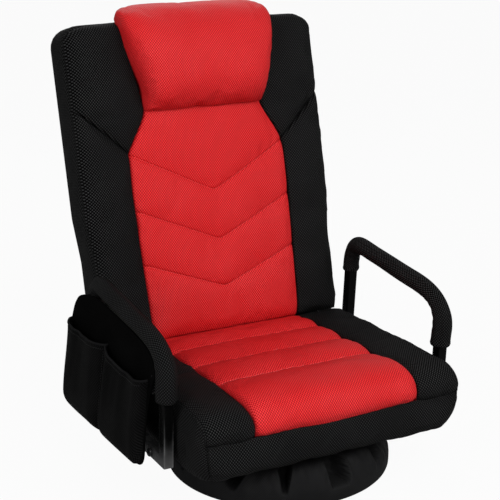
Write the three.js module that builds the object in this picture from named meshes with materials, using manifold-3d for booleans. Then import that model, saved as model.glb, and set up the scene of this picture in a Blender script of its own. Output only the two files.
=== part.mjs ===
// Gaming rocker chair on a round swivel base, with a reclining back.
// Millimetres. The chair faces -Y, +X is the sitter's left, +Z is up, and the floor is z = 0.
import * as THREE from 'three';
import Module from 'manifold-3d';

const wasm = await Module();
wasm.setup();

// Gaps between pieces
const gap = 0.3;
const seamGap = 0.5;
const runningGap = 0.1;
const overrun = 20;

// Base ring, cross, feet and pedestal
const ringRadius = 195;
const ringTubeRadius = 11;
const footHeight = 8;
const footRadius = 10;
const centrePadRadius = 30;
const crossHeight = 20;
const crossHalfWidth = 16;
const crossFloorGap = 9;
const pedestalRadius = 72;
const pedestalFlange = 12;
const pedestalTop = 72;
const sheetSteel = 3;

// Swivel
const lowerPlateHalfWidth = 68;
const ballRingInner = 50;
const ballRingOuter = 66;
const ballRingHeight = 8.1;
const upperPlateHalfWidth = 90;
const upperPlateBore = 12;
const plateCorner = 10;
const pivotRadius = 8;
const pivotHeadRadius = 18;
const pivotFootRadius = 14;
const pivotFootHeight = 2.4;
const riserHeight = 7.4;
const riserHalfWidth = 90;
const riserRail = 28;

// Base cover
const coverThickness = 1.5;
const coverEase = 1.4;
const coverLobes = 12;
const coverHemHeight = 6;
const coverValleyDepth = 34;
const coverFoldShares = [0.05, 0.11];
const coverTopRise = 76;
const coverFirstShare = 0.85;
const coverInShares = [0.35, 0.16, 0.5];
const coverRiseShares = [0.5, 0.82];
const pleatShares = [0, 0, 0.04, 0.4, 0.8, 1, 0.7, 0];
const lobeStepShares = [-0.5, -0.27, -0.12, 0, 0.12, 0.27];
const lobeShiftShares = [0, 0.06, -0.05, 0.03, 0.07, -0.06, 0.02, -0.03, 0.05, -0.04, 0.06, -0.02];

// Seat
const seatHalfWidth = 258;
const seatFront = -212;
const seatRear = 178;
const seatBottom = 92;
const seatSeamHeight = 165;
const seatBulge = 5;
const seatCorner = 18;
const boxingWall = 7.5;
const dustCoverThickness = 1.5;
const dustCoverOpeningGap = 5;
const frameTubeRadius = 11;
const frameTubeCorner = 42;
const seatCrossbarPlace = 72;
const seatCrossbarHalfWidth = 12;
const seatPadRise = 40;
const seatCentreHalfWidth = 162;
const seatFrontRoll = 48;
const seatFrontOverhang = 9;
const seatEdgeRoll = 16;
const seatEdgeDrop = 12.8;
const seatScallop = 3;
const channelDepth = 8;
const channelShares = [0, 0.365, 0.617, 0.851, 1];
const rollRiseShares = [1.42, 1.22, 1.06, 0.98];
const channelPuffShare = 0.55;
const boxingRowShares = [[0, -0.6], [0.15, 0.3], [0.5, 1], [0.82, 0.7], [1, 0]];
const frontRowShares = [0, 0.004, 0.014, 0.034, 0.062, 0.098, 0.16, 0.26, 0.33];
const channelStepShares = [0, 0.1, 0.3, 0.55, 0.8, 0.93];
const rearRowShares = [0.5, 0.75, 0.9, 0.96, 0.985, 1];

// Recline hinge and the back
const reclineAngle = THREE.MathUtils.degToRad(14);
const hingeY = 229.3;
const hingeBelowSeam = 25;
const hingeZ = seatSeamHeight - hingeBelowSeam;
const backFlare = 8;
const backWidenStart = 215;
const backWidenEnd = 300;
const backBottom = 48;
const backShoulder = 661;
const backDome = 9;
const backCorner = 34;
const backFootCorner = 14;
const backRearDepth = 47;
const backBoxingFront = 20;
const backFrontFace = 48;
const backBoxingWall = 11;
const backPanelThickness = 4;
const backBulge = 3;
const backFrameSideInset = 26;
const backFrameInset = 24;
const backCrossbarHalf = 8;
const backCrossbarShares = [0.3, 0.68];
const rollEndGap = 5.6;

// Back cushions
const diagonalInnerRise = 412.6;
const diagonalOuterRise = 504.6;
const pillowBottom = 493;
const bolsterEdgeRoll = 20;
const innerSeamDepth = 7;
const backCrown = 7;
const chevronDepth = 6;
const chevronVertexShares = [0.139, 0.29, 0.447];
const chevronRises = [64, 75, 86];
const crownStartShare = 0.25;
const bandStepShares = [0, 0.06, 0.18, 0.42, 0.7, 0.88, 0.96];
const cornerTrimShare = 0.3;
const redWidthShares = [
  [0, 0.6], [0.06, 0.61], [0.25, 0.625], [0.45, 0.635], [0.54, 0.635], [0.585, 0.628],
  [0.615, 0.595], [0.671, 0.517], [0.702, 0.478], [0.716, 0.47], [0.76, 0.485], [0.791, 0.5],
  [0.843, 0.523], [0.877, 0.541], [0.927, 0.566], [1, 0.598],
];

// Head pillow
const pillowFront = 110;
const pillowTop = 695;
const pillowRear = -26;
const pillowEndRoll = 26;
const pillowSideDrop = 30;
const pillowMiddleShare = 0.56;
const pillowRoundShare = 0.62;
const pillowWrapShare = 1.6;
const pillowSweepShares = [-0.5, 0.62];
const pillowEndShare = 0.9;

// Arms
const armOutset = 23;
const armTube = 20;
const armFrontFoot = -112;
const armFrontLean = -122;
const armLowBar = 106;
const armRearFoot = 208;
const armRearPostHigh = 190;
const armFrontTop = 308;
const armRearTop = 342;
const armFrontBend = 58;
const armRearBend = 26;
const armFootBend = 14;
const sleeveRadius = 17;
const sleeveFrontEnd = 215;
const sleeveRearEnd = 281;
const boltPlaces = [-66, 104];
const boltRadius = 4;
const boltHeadRadius = 8;
const boltHeadHeight = 4.5;
const boltReach = 52;
const spacerRadius = 9;
const boltSegments = 12;

// Pouch on the sitter's right arm
const pouchCloth = 2.5;
const pouchFront = -94;
const pouchRear = 258;
const pouchDivider = 90;
const pouchBottom = 88;
const pouchHem = 254;
const pouchMouth = 10;
const pouchBelly = 27;
const pouchSag = 15;
const pouchCorner = 26;
const pouchRearTop = 300;
const pouchSwing = 7.1;
const pouchLean = 6;
const hemWall = 3;
const hemRoundShare = 0.8;
const pouchEndShare = 0.125;
const pouchEndDepthShare = 0.45;
const bellyTurnShares = [0.12, 0.92];
const bellyRoundShare = 0.7;
const bellyTaperShare = 0.6;
const pouchRowShares = [0, 0.06, 0.16, 0.35, 0.6, 0.85, 1];

// Hinge plates
const hingeInset = 18.1;
const plateGap = 0.4;
const platePitchRadius = 25;
const toothHeight = 2.6;
const toothCount = 26;
const toothTurnShares = [0.68, 2.32];
const seatDiscTurnShare = 0.62;
const hingeRivetRadius = 6;
const hingeRivetHead = 11;
const hingeRivetHeadHeight = 3;
const seatPlateReach = 130;
const plateSeamClearance = 15.7;
const backPlateReach = 150;
const backPlateHalfWidth = 11;
const pawlLength = 30;
const pawlHalfWidth = 5;

// Looks of the materials
const looks = {
  redMesh: { color: 0xc8191f, roughness: 0.85, metalness: 0 },
  blackMesh: { color: 0x1c1c1d, roughness: 0.88, metalness: 0 },
  blackCloth: { color: 0x202022, roughness: 0.7, metalness: 0 },
  lining: { color: 0x2b2b2c, roughness: 0.95, metalness: 0 },
  foam: { color: 0xd9cfa8, roughness: 1, metalness: 0 },
  blackSteel: { color: 0x2a2b2d, roughness: 0.35, metalness: 0.8 },
  zinc: { color: 0x9b9d9f, roughness: 0.4, metalness: 0.9 },
  rubber: { color: 0x161616, roughness: 0.95, metalness: 0 },
};

// Small number helpers
const mix = (a, b, share) => a + (b - a) * share;
const clamp01 = (value) => Math.min(1, Math.max(0, value));
const evenShares = (count) => Array.from({ length: count + 1 }, (_, k) => k / count);

function tableAt(pairs, share) {
  const k = Math.max(1, pairs.findIndex((pair) => pair[0] >= share));
  const [a, b] = [pairs[k - 1], pairs[k]];
  return mix(a[1], b[1], clamp01((share - a[0]) / (b[0] - a[0])));
}

// How far a rounded cushion edge has dropped at a distance from that edge
function edgeDrop(distance, radius, depth) {
  const away = 1 - clamp01(distance / radius);
  return depth * (1 - Math.sqrt(1 - away * away));
}

// Places that turn local coordinates into the chair's frame
const world = (x, y, z) => [x, y, z];
const onBack = (x, up, out) => [
  x,
  hingeY + up * Math.sin(reclineAngle) - out * Math.cos(reclineAngle),
  hingeZ + up * Math.cos(reclineAngle) + out * Math.sin(reclineAngle),
];
const sideView = (a, b, c) => [c, a, b];
const aboutX = (y, z) => (a, b, c) => [c, y + a, z + b];
const aboutZ = (x, y) => (a, b, c) => [x + a, y + b, c];

// Closed solids as points and faces
function signedVolume({ points, faces }) {
  return faces.reduce((sum, [a, b, c]) => {
    const [p, q, r] = [points[a], points[b], points[c]];
    const cross = [q[1] * r[2] - q[2] * r[1], q[2] * r[0] - q[0] * r[2], q[0] * r[1] - q[1] * r[0]];
    return sum + (p[0] * cross[0] + p[1] * cross[1] + p[2] * cross[2]) / 6;
  }, 0);
}

function facingOut(solid) {
  if (signedVolume(solid) > 0) return solid;
  return { points: solid.points, faces: solid.faces.map(([a, b, c]) => [a, c, b]) };
}

function filletPath(corners, closed, stepsPerTurn) {
  const path = [];
  const count = corners.length;
  corners.forEach(([x, y, radius], k) => {
    const ends = !closed && (k === 0 || k === count - 1);
    if (ends || !radius) {
      path.push([x, y]);
      return;
    }
    const before = corners[(k + count - 1) % count];
    const after = corners[(k + 1) % count];
    const inward = new THREE.Vector2(before[0] - x, before[1] - y).normalize();
    const onward = new THREE.Vector2(after[0] - x, after[1] - y).normalize();
    const half = Math.acos(Math.min(1, Math.max(-1, inward.dot(onward)))) / 2;
    const along = radius / Math.tan(half);
    const middle = inward.clone().add(onward).normalize().multiplyScalar(radius / Math.sin(half));
    const centre = new THREE.Vector2(x, y).add(middle);
    const start = new THREE.Vector2(x, y).addScaledVector(inward, along).sub(centre);
    const end = new THREE.Vector2(x, y).addScaledVector(onward, along).sub(centre);
    const turn = Math.atan2(start.x * end.y - start.y * end.x, start.dot(end));
    const steps = Math.max(1, Math.round((stepsPerTurn * Math.abs(turn)) / (Math.PI / 2)));
    evenShares(steps).forEach((share) => {
      const arm = start.clone().rotateAround(new THREE.Vector2(), turn * share);
      path.push([centre.x + arm.x, centre.y + arm.y]);
    });
  });
  return path;
}

function mitres(path, closed) {
  const count = path.length;
  const normal = (a, b) => {
    const length = Math.hypot(b[0] - a[0], b[1] - a[1]);
    return [(b[1] - a[1]) / length, -(b[0] - a[0]) / length];
  };
  return path.map((point, k) => {
    const before = closed || k > 0 ? path[(k + count - 1) % count] : null;
    const after = closed || k < count - 1 ? path[(k + 1) % count] : null;
    const first = before ? normal(before, point) : normal(point, after);
    const second = after ? normal(point, after) : first;
    const scale = 1 + first[0] * second[0] + first[1] * second[1];
    return [(first[0] + second[0]) / scale, (first[1] + second[1]) / scale];
  });
}

// Moves a closed outline outwards; a negative amount moves it inwards
function offsetOutline(outline, amount) {
  const area = outline.reduce((sum, p, k) => {
    const q = outline[(k + 1) % outline.length];
    return sum + p[0] * q[1] - q[0] * p[1];
  }, 0);
  const side = Math.sign(area) * amount;
  return mitres(outline, true).map((m, k) => [outline[k][0] + m[0] * side, outline[k][1] + m[1] * side]);
}

function rectangle(x0, x1, y0, y1, radius, steps) {
  const corners = [[x0, y0, radius], [x1, y0, radius], [x1, y1, radius], [x0, y1, radius]];
  return filletPath(corners, true, steps);
}

const circlePoints = (radius, count, x = 0, y = 0) => Array.from({ length: count }, (_, k) => {
  const angle = (2 * Math.PI * k) / count;
  return [x + radius * Math.cos(angle), y + radius * Math.sin(angle)];
});

// A flat plate with holes, from a low to a high level
function prism(outline, holes, low, high, place = world) {
  const loops = [outline, ...holes].map((loop) => loop.map(([x, y]) => new THREE.Vector2(x, y)));
  const ordered = loops.map((loop, k) => {
    const turned = THREE.ShapeUtils.isClockWise(loop) === (k === 0);
    return turned ? loop.reverse() : loop;
  });
  const flat = ordered.flat();
  const count = flat.length;
  const caps = THREE.ShapeUtils.triangulateShape(ordered[0], ordered.slice(1));
  const points = [...flat.map((p) => place(p.x, p.y, low)), ...flat.map((p) => place(p.x, p.y, high))];
  const faces = caps.flatMap(([a, b, c]) => [[c, b, a], [a + count, b + count, c + count]]);
  let start = 0;
  ordered.forEach((loop) => {
    loop.forEach((_, k) => {
      const a = start + k;
      const b = start + ((k + 1) % loop.length);
      faces.push([a, b, b + count], [a, b + count, a + count]);
    });
    start += loop.length;
  });
  return facingOut({ points, faces });
}

// A body through loops of points: the last loop joins the first, or each end is closed with a fan
function loft(loops, ring) {
  const count = loops[0].length;
  const points = loops.flat();
  const faces = [];
  const last = ring ? loops.length : loops.length - 1;
  for (let j = 0; j < last; j += 1) {
    const next = (j + 1) % loops.length;
    for (let k = 0; k < count; k += 1) {
      const side = (k + 1) % count;
      const [a, b] = [j * count + k, j * count + side];
      const [c, d] = [next * count + side, next * count + k];
      faces.push([a, b, c], [a, c, d]);
    }
  }
  if (!ring) {
    const end = (loops.length - 1) * count;
    for (let k = 1; k < count - 1; k += 1) {
      faces.push([0, k + 1, k], [end, end + k, end + k + 1]);
    }
  }
  return facingOut({ points, faces });
}

// A tube along a path in a plane; the section's first number lies in the plane, its second across it
function tube(path, closed, section, place) {
  const loops = mitres(path, closed).map((m, k) => section.map(([across, lift]) => (
    place(path[k][0] + m[0] * across, path[k][1] + m[1] * across, lift))));
  return loft(loops, closed);
}

const squareSection = (half) => [[-half, -half], [half, -half], [half, half], [-half, half]];

// A turned body: profile points are radius and height, from axis to axis or closed on itself
function turned(profile, segments, place = world) {
  const open = profile[0][0] === 0;
  const middle = open ? profile.slice(1, -1) : profile;
  const loops = middle.map(([radius, height]) => (
    circlePoints(radius, segments).map(([x, y]) => place(x, y, height))));
  if (!open) return loft(loops, true);
  const points = loops.flat();
  const faces = [];
  for (let j = 0; j < loops.length - 1; j += 1) {
    for (let k = 0; k < segments; k += 1) {
      const side = (k + 1) % segments;
      const [a, b] = [j * segments + k, j * segments + side];
      faces.push([a, b, b + segments], [a, b + segments, a + segments]);
    }
  }
  const [foot, head] = [points.length, points.length + 1];
  points.push(place(0, 0, profile[0][1]), place(0, 0, profile[profile.length - 1][1]));
  const top = (loops.length - 1) * segments;
  for (let k = 0; k < segments; k += 1) {
    const side = (k + 1) % segments;
    faces.push([foot, side, k], [head, top + k, top + side]);
  }
  return facingOut({ points, faces });
}

const drum = (radius, low, high, segments, place = world) => (
  turned([[0, low], [radius, low], [radius, high], [0, high]], segments, place));

function block(x0, x1, y0, y1, z0, z1, place = world) {
  return prism([[x0, y0], [x1, y0], [x1, y1], [x0, y1]], [], z0, z1, place);
}

// A padded body: a shaped upper surface over a plain underside, both over the same shares
function padded(columnShares, rowShares, upper, under) {
  const [cols, rows] = [columnShares.length - 1, rowShares.length - 1];
  const points = [];
  const top = rowShares.map((t) => columnShares.map((s) => points.push(upper(s, t)) - 1));
  const low = rowShares.map((t, j) => columnShares.map((s, i) => {
    const edge = i === 0 || j === 0 || i === cols || j === rows;
    return edge ? points.push(under(s, t)) - 1 : -1;
  }));
  const faces = [];
  for (let j = 0; j < rows; j += 1) {
    for (let i = 0; i < cols; i += 1) {
      const [a, b, c, d] = [top[j][i], top[j][i + 1], top[j + 1][i + 1], top[j + 1][i]];
      faces.push([a, b, c], [a, c, d]);
    }
  }
  const wall = (a, b, c, d) => faces.push([a, b, c], [a, c, d]);
  for (let i = 0; i < cols; i += 1) {
    wall(low[0][i], low[0][i + 1], top[0][i + 1], top[0][i]);
    wall(low[rows][i + 1], low[rows][i], top[rows][i], top[rows][i + 1]);
    faces.push([low[1][0], low[0][i + 1], low[0][i]]);
    faces.push([low[rows - 1][0], low[rows][i], low[rows][i + 1]]);
  }
  for (let j = 0; j < rows; j += 1) {
    wall(low[j][cols], low[j + 1][cols], top[j + 1][cols], top[j][cols]);
    wall(low[j + 1][0], low[j][0], top[j][0], top[j + 1][0]);
  }
  faces.push([low[1][0], low[1][cols], low[0][cols]]);
  faces.push([low[rows - 1][0], low[rows][cols], low[rows - 1][cols]]);
  for (let j = 1; j < rows - 1; j += 1) {
    faces.push([low[j][0], low[j + 1][0], low[j + 1][cols]], [low[j][0], low[j + 1][cols], low[j][cols]]);
  }
  return facingOut({ points, faces });
}

// Boolean cuts
function toManifold({ points, faces }) {
  const vertProperties = new Float32Array(points.flat());
  const triVerts = new Uint32Array(faces.flat());
  return new wasm.Manifold(new wasm.Mesh({ numProp: 3, vertProperties, triVerts }));
}

function cutAway(solid, ...tools) {
  const body = tools.reduce((left, tool) => left.subtract(toManifold(tool)), toManifold(solid));
  const { numProp, vertProperties, triVerts } = body.getMesh();
  const points = [];
  for (let k = 0; k < vertProperties.length; k += numProp) {
    points.push([vertProperties[k], vertProperties[k + 1], vertProperties[k + 2]]);
  }
  const faces = [];
  for (let k = 0; k < triVerts.length; k += 3) faces.push([triVerts[k], triVerts[k + 1], triVerts[k + 2]]);
  return { points, faces };
}

const chair = new THREE.Group();
chair.name = 'gaming_rocker_chair';

function add(name, solid, look) {
  const geometry = new THREE.BufferGeometry();
  geometry.setAttribute('position', new THREE.Float32BufferAttribute(solid.points.flat(), 3));
  geometry.setIndex(solid.faces.flat());
  geometry.computeVertexNormals();
  const mesh = new THREE.Mesh(geometry, new THREE.MeshStandardMaterial(looks[look]));
  mesh.name = name;
  chair.add(mesh);
}

const sides = [['left', 1], ['right', -1]];
const between = (side, a, b) => [Math.min(side * a, side * b), Math.max(side * a, side * b)];

// Base
const ringHeight = footHeight + ringTubeRadius;
const crossTop = crossFloorGap + crossHeight;

function baseRing() {
  const profile = circlePoints(ringTubeRadius, 8, ringRadius, ringHeight);
  add('base_ring', turned(profile, 48), 'blackSteel');
}

function baseCross() {
  const reach = ringRadius - ringTubeRadius - gap;
  const arms = [0, 1, 2, 3].flatMap((quarter) => {
    const [c, s] = [[1, 0], [0, 1], [-1, 0], [0, -1]][quarter];
    const turn = (x, y) => [x * c - y * s, x * s + y * c];
    return [turn(crossHalfWidth, -crossHalfWidth), turn(reach, -crossHalfWidth), turn(reach, crossHalfWidth)];
  });
  const ring = turned(circlePoints(ringTubeRadius + gap, 8, ringRadius, ringHeight), 48);
  add('base_cross', cutAway(prism(arms, [], crossFloorGap, crossTop), ring), 'blackSteel');
}

function basePedestal() {
  const low = crossTop + gap;
  const inner = pedestalRadius - sheetSteel;
  const profile = [
    [0, pedestalTop - sheetSteel], [inner, pedestalTop - sheetSteel], [inner, low],
    [pedestalRadius + pedestalFlange, low], [pedestalRadius + pedestalFlange, low + sheetSteel],
    [pedestalRadius, low + sheetSteel], [pedestalRadius, pedestalTop], [0, pedestalTop],
  ];
  add('base_pedestal', turned(profile, 36), 'blackSteel');
}

function baseFeet() {
  [1, 3, 5, 7].forEach((eighth, k) => {
    const angle = (eighth * Math.PI) / 4;
    const place = aboutZ(ringRadius * Math.cos(angle), ringRadius * Math.sin(angle));
    add(`base_foot_${k + 1}`, drum(footRadius, 0, footHeight - gap, 12, place), 'rubber');
  });
  add('base_centre_pad', drum(centrePadRadius, 0, crossFloorGap - gap, 24), 'rubber');
}

// The cover's outline from the hem, up over the ring and in to the pedestal: radius, height, fold share
function coverProfile() {
  const coverRadius = ringRadius + ringTubeRadius + coverEase + coverThickness;
  const hip = ringRadius - ringTubeRadius;
  const rows = [
    [coverRadius - gap, coverHemHeight],
    [coverRadius, ringHeight],
    [coverRadius - gap, ringHeight + ringTubeRadius],
    [mix(coverRadius, hip, coverInShares[0]), mix(ringHeight, coverTopRise, coverRiseShares[0])],
    [hip + ringTubeRadius / 3, mix(ringHeight, coverTopRise, coverRiseShares[1])],
    [mix(hip, pedestalRadius, coverInShares[1]), coverTopRise],
    [mix(hip, pedestalRadius, coverInShares[2]), coverTopRise - pedestalFlange / 3],
    [pedestalRadius + gap, pedestalTop - pedestalFlange / 2],
  ];
  return rows.map(([radius, height], k) => [radius, height, pleatShares[k]]);
}

function baseCover() {
  const pitch = (2 * Math.PI) / coverLobes;
  const columns = lobeShiftShares.flatMap((shift, lobe) => lobeStepShares.map((step) => ({
    angle: (lobe + shift + step - coverFirstShare) * pitch,
    step,
  })));
  const loop = ([radius, height, fold], inward) => columns.map(({ angle, step }) => {
    const width = mix(coverFoldShares[0], coverFoldShares[1], fold);
    const valley = fold * coverValleyDepth * Math.exp(-((step / width) ** 2));
    const reach = radius - valley;
    return [reach * Math.cos(angle), reach * Math.sin(angle), height - inward];
  });
  const outer = coverProfile();
  // The cloth's inside lies below the flat crown and within the steep side
  const lowered = outer.map(([radius, height, fold], k) => {
    const flat = k > 4;
    const edge = k === outer.length - 1;
    const inner = flat ? radius : radius - coverThickness;
    return [edge ? radius : inner, height, fold, flat ? coverThickness : 0];
  });
  const inner = lowered.filter((_, k) => k !== 1);
  const loops = [...outer.map((row) => loop(row, 0)), ...inner.reverse().map((row) => loop(row, row[3]))];
  add('base_cover', loft(loops, true), 'blackCloth');
}

// Swivel
const lowerPlateLow = pedestalTop + gap;
const ballRingLow = lowerPlateLow + sheetSteel + gap;
const upperPlateLow = ballRingLow + ballRingHeight + gap;
const riserLow = upperPlateLow + sheetSteel + gap;
const seatFrameLow = riserLow + riserHeight + gap;
const seatFrameHeight = seatFrameLow + frameTubeRadius;

const squarePlate = (half) => rectangle(-half, half, -half, half, plateCorner, 2);

function swivel() {
  const lower = squarePlate(lowerPlateHalfWidth);
  add('swivel_lower_plate', prism(lower, [], lowerPlateLow, lowerPlateLow + sheetSteel), 'blackSteel');
  const high = ballRingLow + ballRingHeight;
  const ring = [
    [ballRingInner, ballRingLow], [ballRingOuter, ballRingLow], [ballRingOuter, high], [ballRingInner, high],
  ];
  add('swivel_ball_ring', turned(ring, 32), 'zinc');
  const upper = squarePlate(upperPlateHalfWidth);
  const bore = circlePoints(upperPlateBore, 24);
  add('swivel_upper_plate', prism(upper, [bore], upperPlateLow, upperPlateLow + sheetSteel), 'blackSteel');
  const pivot = [
    [0, ballRingLow], [pivotFootRadius, ballRingLow], [pivotFootRadius, ballRingLow + pivotFootHeight],
    [pivotRadius, ballRingLow + pivotFootHeight], [pivotRadius, riserLow], [pivotHeadRadius, riserLow],
    [pivotHeadRadius, riserLow + sheetSteel], [0, riserLow + sheetSteel],
  ];
  add('swivel_pivot', turned(pivot, 20), 'zinc');
  const riser = squarePlate(riserHalfWidth);
  const open = squarePlate(riserHalfWidth - riserRail);
  add('swivel_riser', prism(riser, [open], riserLow, riserLow + riserHeight), 'blackSteel');
}

// Seat frame and structure
const seatInner = seatHalfWidth - boxingWall;
const frameHalfWidth = seatInner - gap * 2 - frameTubeRadius;
const seatFrameFront = seatFront + boxingWall + gap * 2 + frameTubeRadius;
const seatFrameRear = seatRear - boxingWall - gap * 2 - frameTubeRadius;
const foamLow = seatFrameHeight + frameTubeRadius + gap;
const armCentre = seatHalfWidth + armOutset;

function boltDrill(side, place, radius) {
  const [low, high] = between(side, frameHalfWidth - overrun, armCentre + overrun);
  return drum(radius, low, high, boltSegments, aboutX(place, armLowBar));
}

const boltDrills = (radius) => sides.flatMap(([, side]) => (
  boltPlaces.map((place) => boltDrill(side, place, radius))));

function seatFrame() {
  const rail = rectangle(-frameHalfWidth, frameHalfWidth, seatFrameFront, seatFrameRear, frameTubeCorner, 4);
  const place = (x, y, lift) => [x, y, seatFrameHeight + lift];
  const hoop = tube(rail, true, circlePoints(frameTubeRadius, 8), place);
  add('seat_frame', cutAway(hoop, ...boltDrills(boltRadius + gap)), 'blackSteel');
  const reach = frameHalfWidth - frameTubeRadius - gap;
  [['front', -1], ['rear', 1]].forEach(([name, end]) => {
    const y = end * seatCrossbarPlace;
    const bar = block(-reach, reach, y - seatCrossbarHalfWidth, y + seatCrossbarHalfWidth,
      seatFrameLow, seatFrameLow + frameTubeRadius * 2);
    add(`seat_crossbar_${name}`, bar, 'blackSteel');
  });
}

const seatOutline = rectangle(-seatHalfWidth, seatHalfWidth, seatFront, seatRear, seatCorner, 5);
const seatInside = offsetOutline(seatOutline, -boxingWall - gap);

function seatShells() {
  const opening = squarePlate(riserHalfWidth + dustCoverOpeningGap);
  const dust = prism(seatInside, [opening], seatBottom, seatBottom + dustCoverThickness);
  add('seat_dust_cover', dust, 'lining');
  const core = prism(seatInside, [], foamLow, seatSeamHeight);
  add('seat_foam_core', cutAway(core, ...sides.map(([, side]) => plateSlot(side))), 'foam');
}

// Where the hinge plates stand, from the seat's side
const seatPlateInner = seatHalfWidth - hingeInset;
const backPlateInner = seatPlateInner + sheetSteel + plateGap;

// Room for a hinge plate that leaves the seat to the rear
function plateSlot(side) {
  const [low, high] = between(side, seatPlateInner - gap, backPlateInner + sheetSteel + gap);
  const lowest = Math.min(foamLow - gap * 2, hingeZ - pawlHalfWidth * 2 - gap);
  return block(low, high, hingeY - seatPlateReach - gap, hingeY, lowest, seatSeamHeight + gap);
}

function seatBoxing() {
  const outer = boxingRowShares.map(([share, swell]) => {
    const level = mix(seatBottom, seatSeamHeight, share);
    const swollen = offsetOutline(seatOutline, seatBulge * swell);
    return swollen.map(([x, y]) => [x, y > 0 ? Math.min(y, seatRear) : y, level]);
  });
  const inside = offsetOutline(seatOutline, -boxingWall);
  const inner = [seatSeamHeight, seatBottom].map((z) => inside.map(([x, y]) => [x, y, z]));
  const slots = sides.map(([, side]) => plateSlot(side));
  const band = loft([...outer, ...inner], true);
  add('seat_boxing', cutAway(band, ...boltDrills(spacerRadius + gap), ...slots), 'blackMesh');
}

// Seat cushions
const seatDepth = seatRear - seatFront;
const padLow = seatSeamHeight + gap;

// Height of the plain side cushion and of the channelled middle above the seam, front to rear
function seatSection(rises, share) {
  const y = mix(seatFront, seatRear - gap, share);
  const frontShare = clamp01((share * seatDepth) / seatFrontRoll);
  const round = Math.sqrt(1 - (1 - frontShare) ** 2);
  const rearDrop = edgeDrop(seatRear - y, seatEdgeRoll, seatPadRise / 2);
  const rise = rises(share) * round - rearDrop;
  const swell = seatFrontOverhang * Math.sin(Math.PI * clamp01(rise / seatPadRise)) * (1 - frontShare);
  return [y - swell, Math.max(rise, seatFrontOverhang / 3)];
}

function channelRise(share) {
  const k = Math.max(1, channelShares.findIndex((edge) => edge >= share));
  const inside = (share - channelShares[k - 1]) / (channelShares[k] - channelShares[k - 1]);
  const crest = rollRiseShares[k - 1] * seatPadRise;
  const toChannel = (channelShares[1] - share) * seatDepth;
  if (k === 1) return crest - edgeDrop(toChannel, seatFrontRoll, channelDepth * 2);
  const dip = channelDepth * (1 - Math.sin(Math.PI * clamp01(inside)) ** channelPuffShare);
  const last = k === rollRiseShares.length;
  const lean = last ? 0 : (rollRiseShares[k - 1] - rollRiseShares[k]) * seatPadRise * inside ** 3;
  return crest - dip - lean;
}

const channelRowShares = channelShares.slice(1, -1).flatMap((edge, k) => {
  const next = channelShares[k + 2] - edge;
  return channelStepShares.map((share) => edge + next * share);
});
const seatMiddleRows = [...frontRowShares, ...channelRowShares, 1];
const seatSideRows = [...frontRowShares, ...rearRowShares];

// The red middle's half width: drawn in at each channel, swelling between them
function seatRedHalf(share) {
  const k = Math.max(1, channelShares.findIndex((edge) => edge >= share));
  const inside = (share - channelShares[k - 1]) / (channelShares[k] - channelShares[k - 1]);
  return seatCentreHalfWidth + seatScallop * Math.sin(Math.PI * inside);
}

function seatCentrePad() {
  const columnShares = [0, 0.025, 0.07, 0.16, 0.34, 0.66, 0.84, 0.93, 0.975, 1];
  const upper = (s, t) => {
    const half = seatRedHalf(t) - seamGap;
    const x = mix(-half, half, s);
    const [y, rise] = seatSection(channelRise, t);
    const drop = edgeDrop(half - Math.abs(x), seatEdgeRoll, channelDepth);
    return [x, y, padLow + Math.max(rise - drop, seatFrontOverhang / 4)];
  };
  const under = (s, t) => {
    const half = seatRedHalf(t) - seamGap;
    return [mix(-half, half, s), mix(seatFront, seatRear - gap, t), padLow];
  };
  add('seat_center_pad', padded(columnShares, seatMiddleRows, upper, under), 'redMesh');
}

function seatSidePads() {
  const columnShares = [0, 0.08, 0.25, 0.5, 0.75, 0.88, 0.95, 1];
  const rises = () => seatPadRise + channelDepth / 3;
  const outerEdge = (y) => {
    const fromCorner = Math.max(0, seatCorner - (y - seatFront));
    return seatHalfWidth - (seatCorner - Math.sqrt(Math.max(0, seatCorner ** 2 - fromCorner ** 2)));
  };
  sides.forEach(([name, side]) => {
    const across = (s, t) => {
      const inner = seatRedHalf(t) + seamGap;
      const outer = outerEdge(mix(seatFront, seatRear, t));
      return side > 0 ? mix(inner, outer, s) : -mix(inner, outer, 1 - s);
    };
    const upper = (s, t) => {
      const x = across(s, t);
      const [y, rise] = seatSection(rises, t);
      const outer = outerEdge(mix(seatFront, seatRear, t));
      const inner = seatRedHalf(t) + seamGap;
      const drop = edgeDrop(Math.abs(x) - inner, seatEdgeRoll, channelDepth)
        + edgeDrop(outer - Math.abs(x), seatEdgeRoll, seatEdgeDrop);
      return [x, y, padLow + Math.max(rise - drop, seatFrontOverhang / 4)];
    };
    const under = (s, t) => [across(s, t), mix(seatFront, seatRear - gap, t), padLow];
    add(`seat_side_pad_${name}`, padded(columnShares, seatSideRows, upper, under), 'blackMesh');
  });
}

// Arms
const armPath = filletPath([
  [armFrontFoot, armLowBar, armFootBend], [armFrontLean, armFrontTop, armFrontBend],
  [armRearPostHigh, armRearTop, armRearBend], [armRearFoot, armLowBar, armFootBend],
], true, 5);

function sleevePath() {
  const lean = (z, low, high, top) => mix(low, high, (z - armLowBar) / (top - armLowBar));
  return filletPath([
    [lean(sleeveFrontEnd, armFrontFoot, armFrontLean, armFrontTop), sleeveFrontEnd, 0],
    [armFrontLean, armFrontTop, armFrontBend],
    [armRearPostHigh, armRearTop, armRearBend],
    [lean(sleeveRearEnd, armRearFoot, armRearPostHigh, armRearTop), sleeveRearEnd, 0],
  ], false, 6);
}

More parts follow.
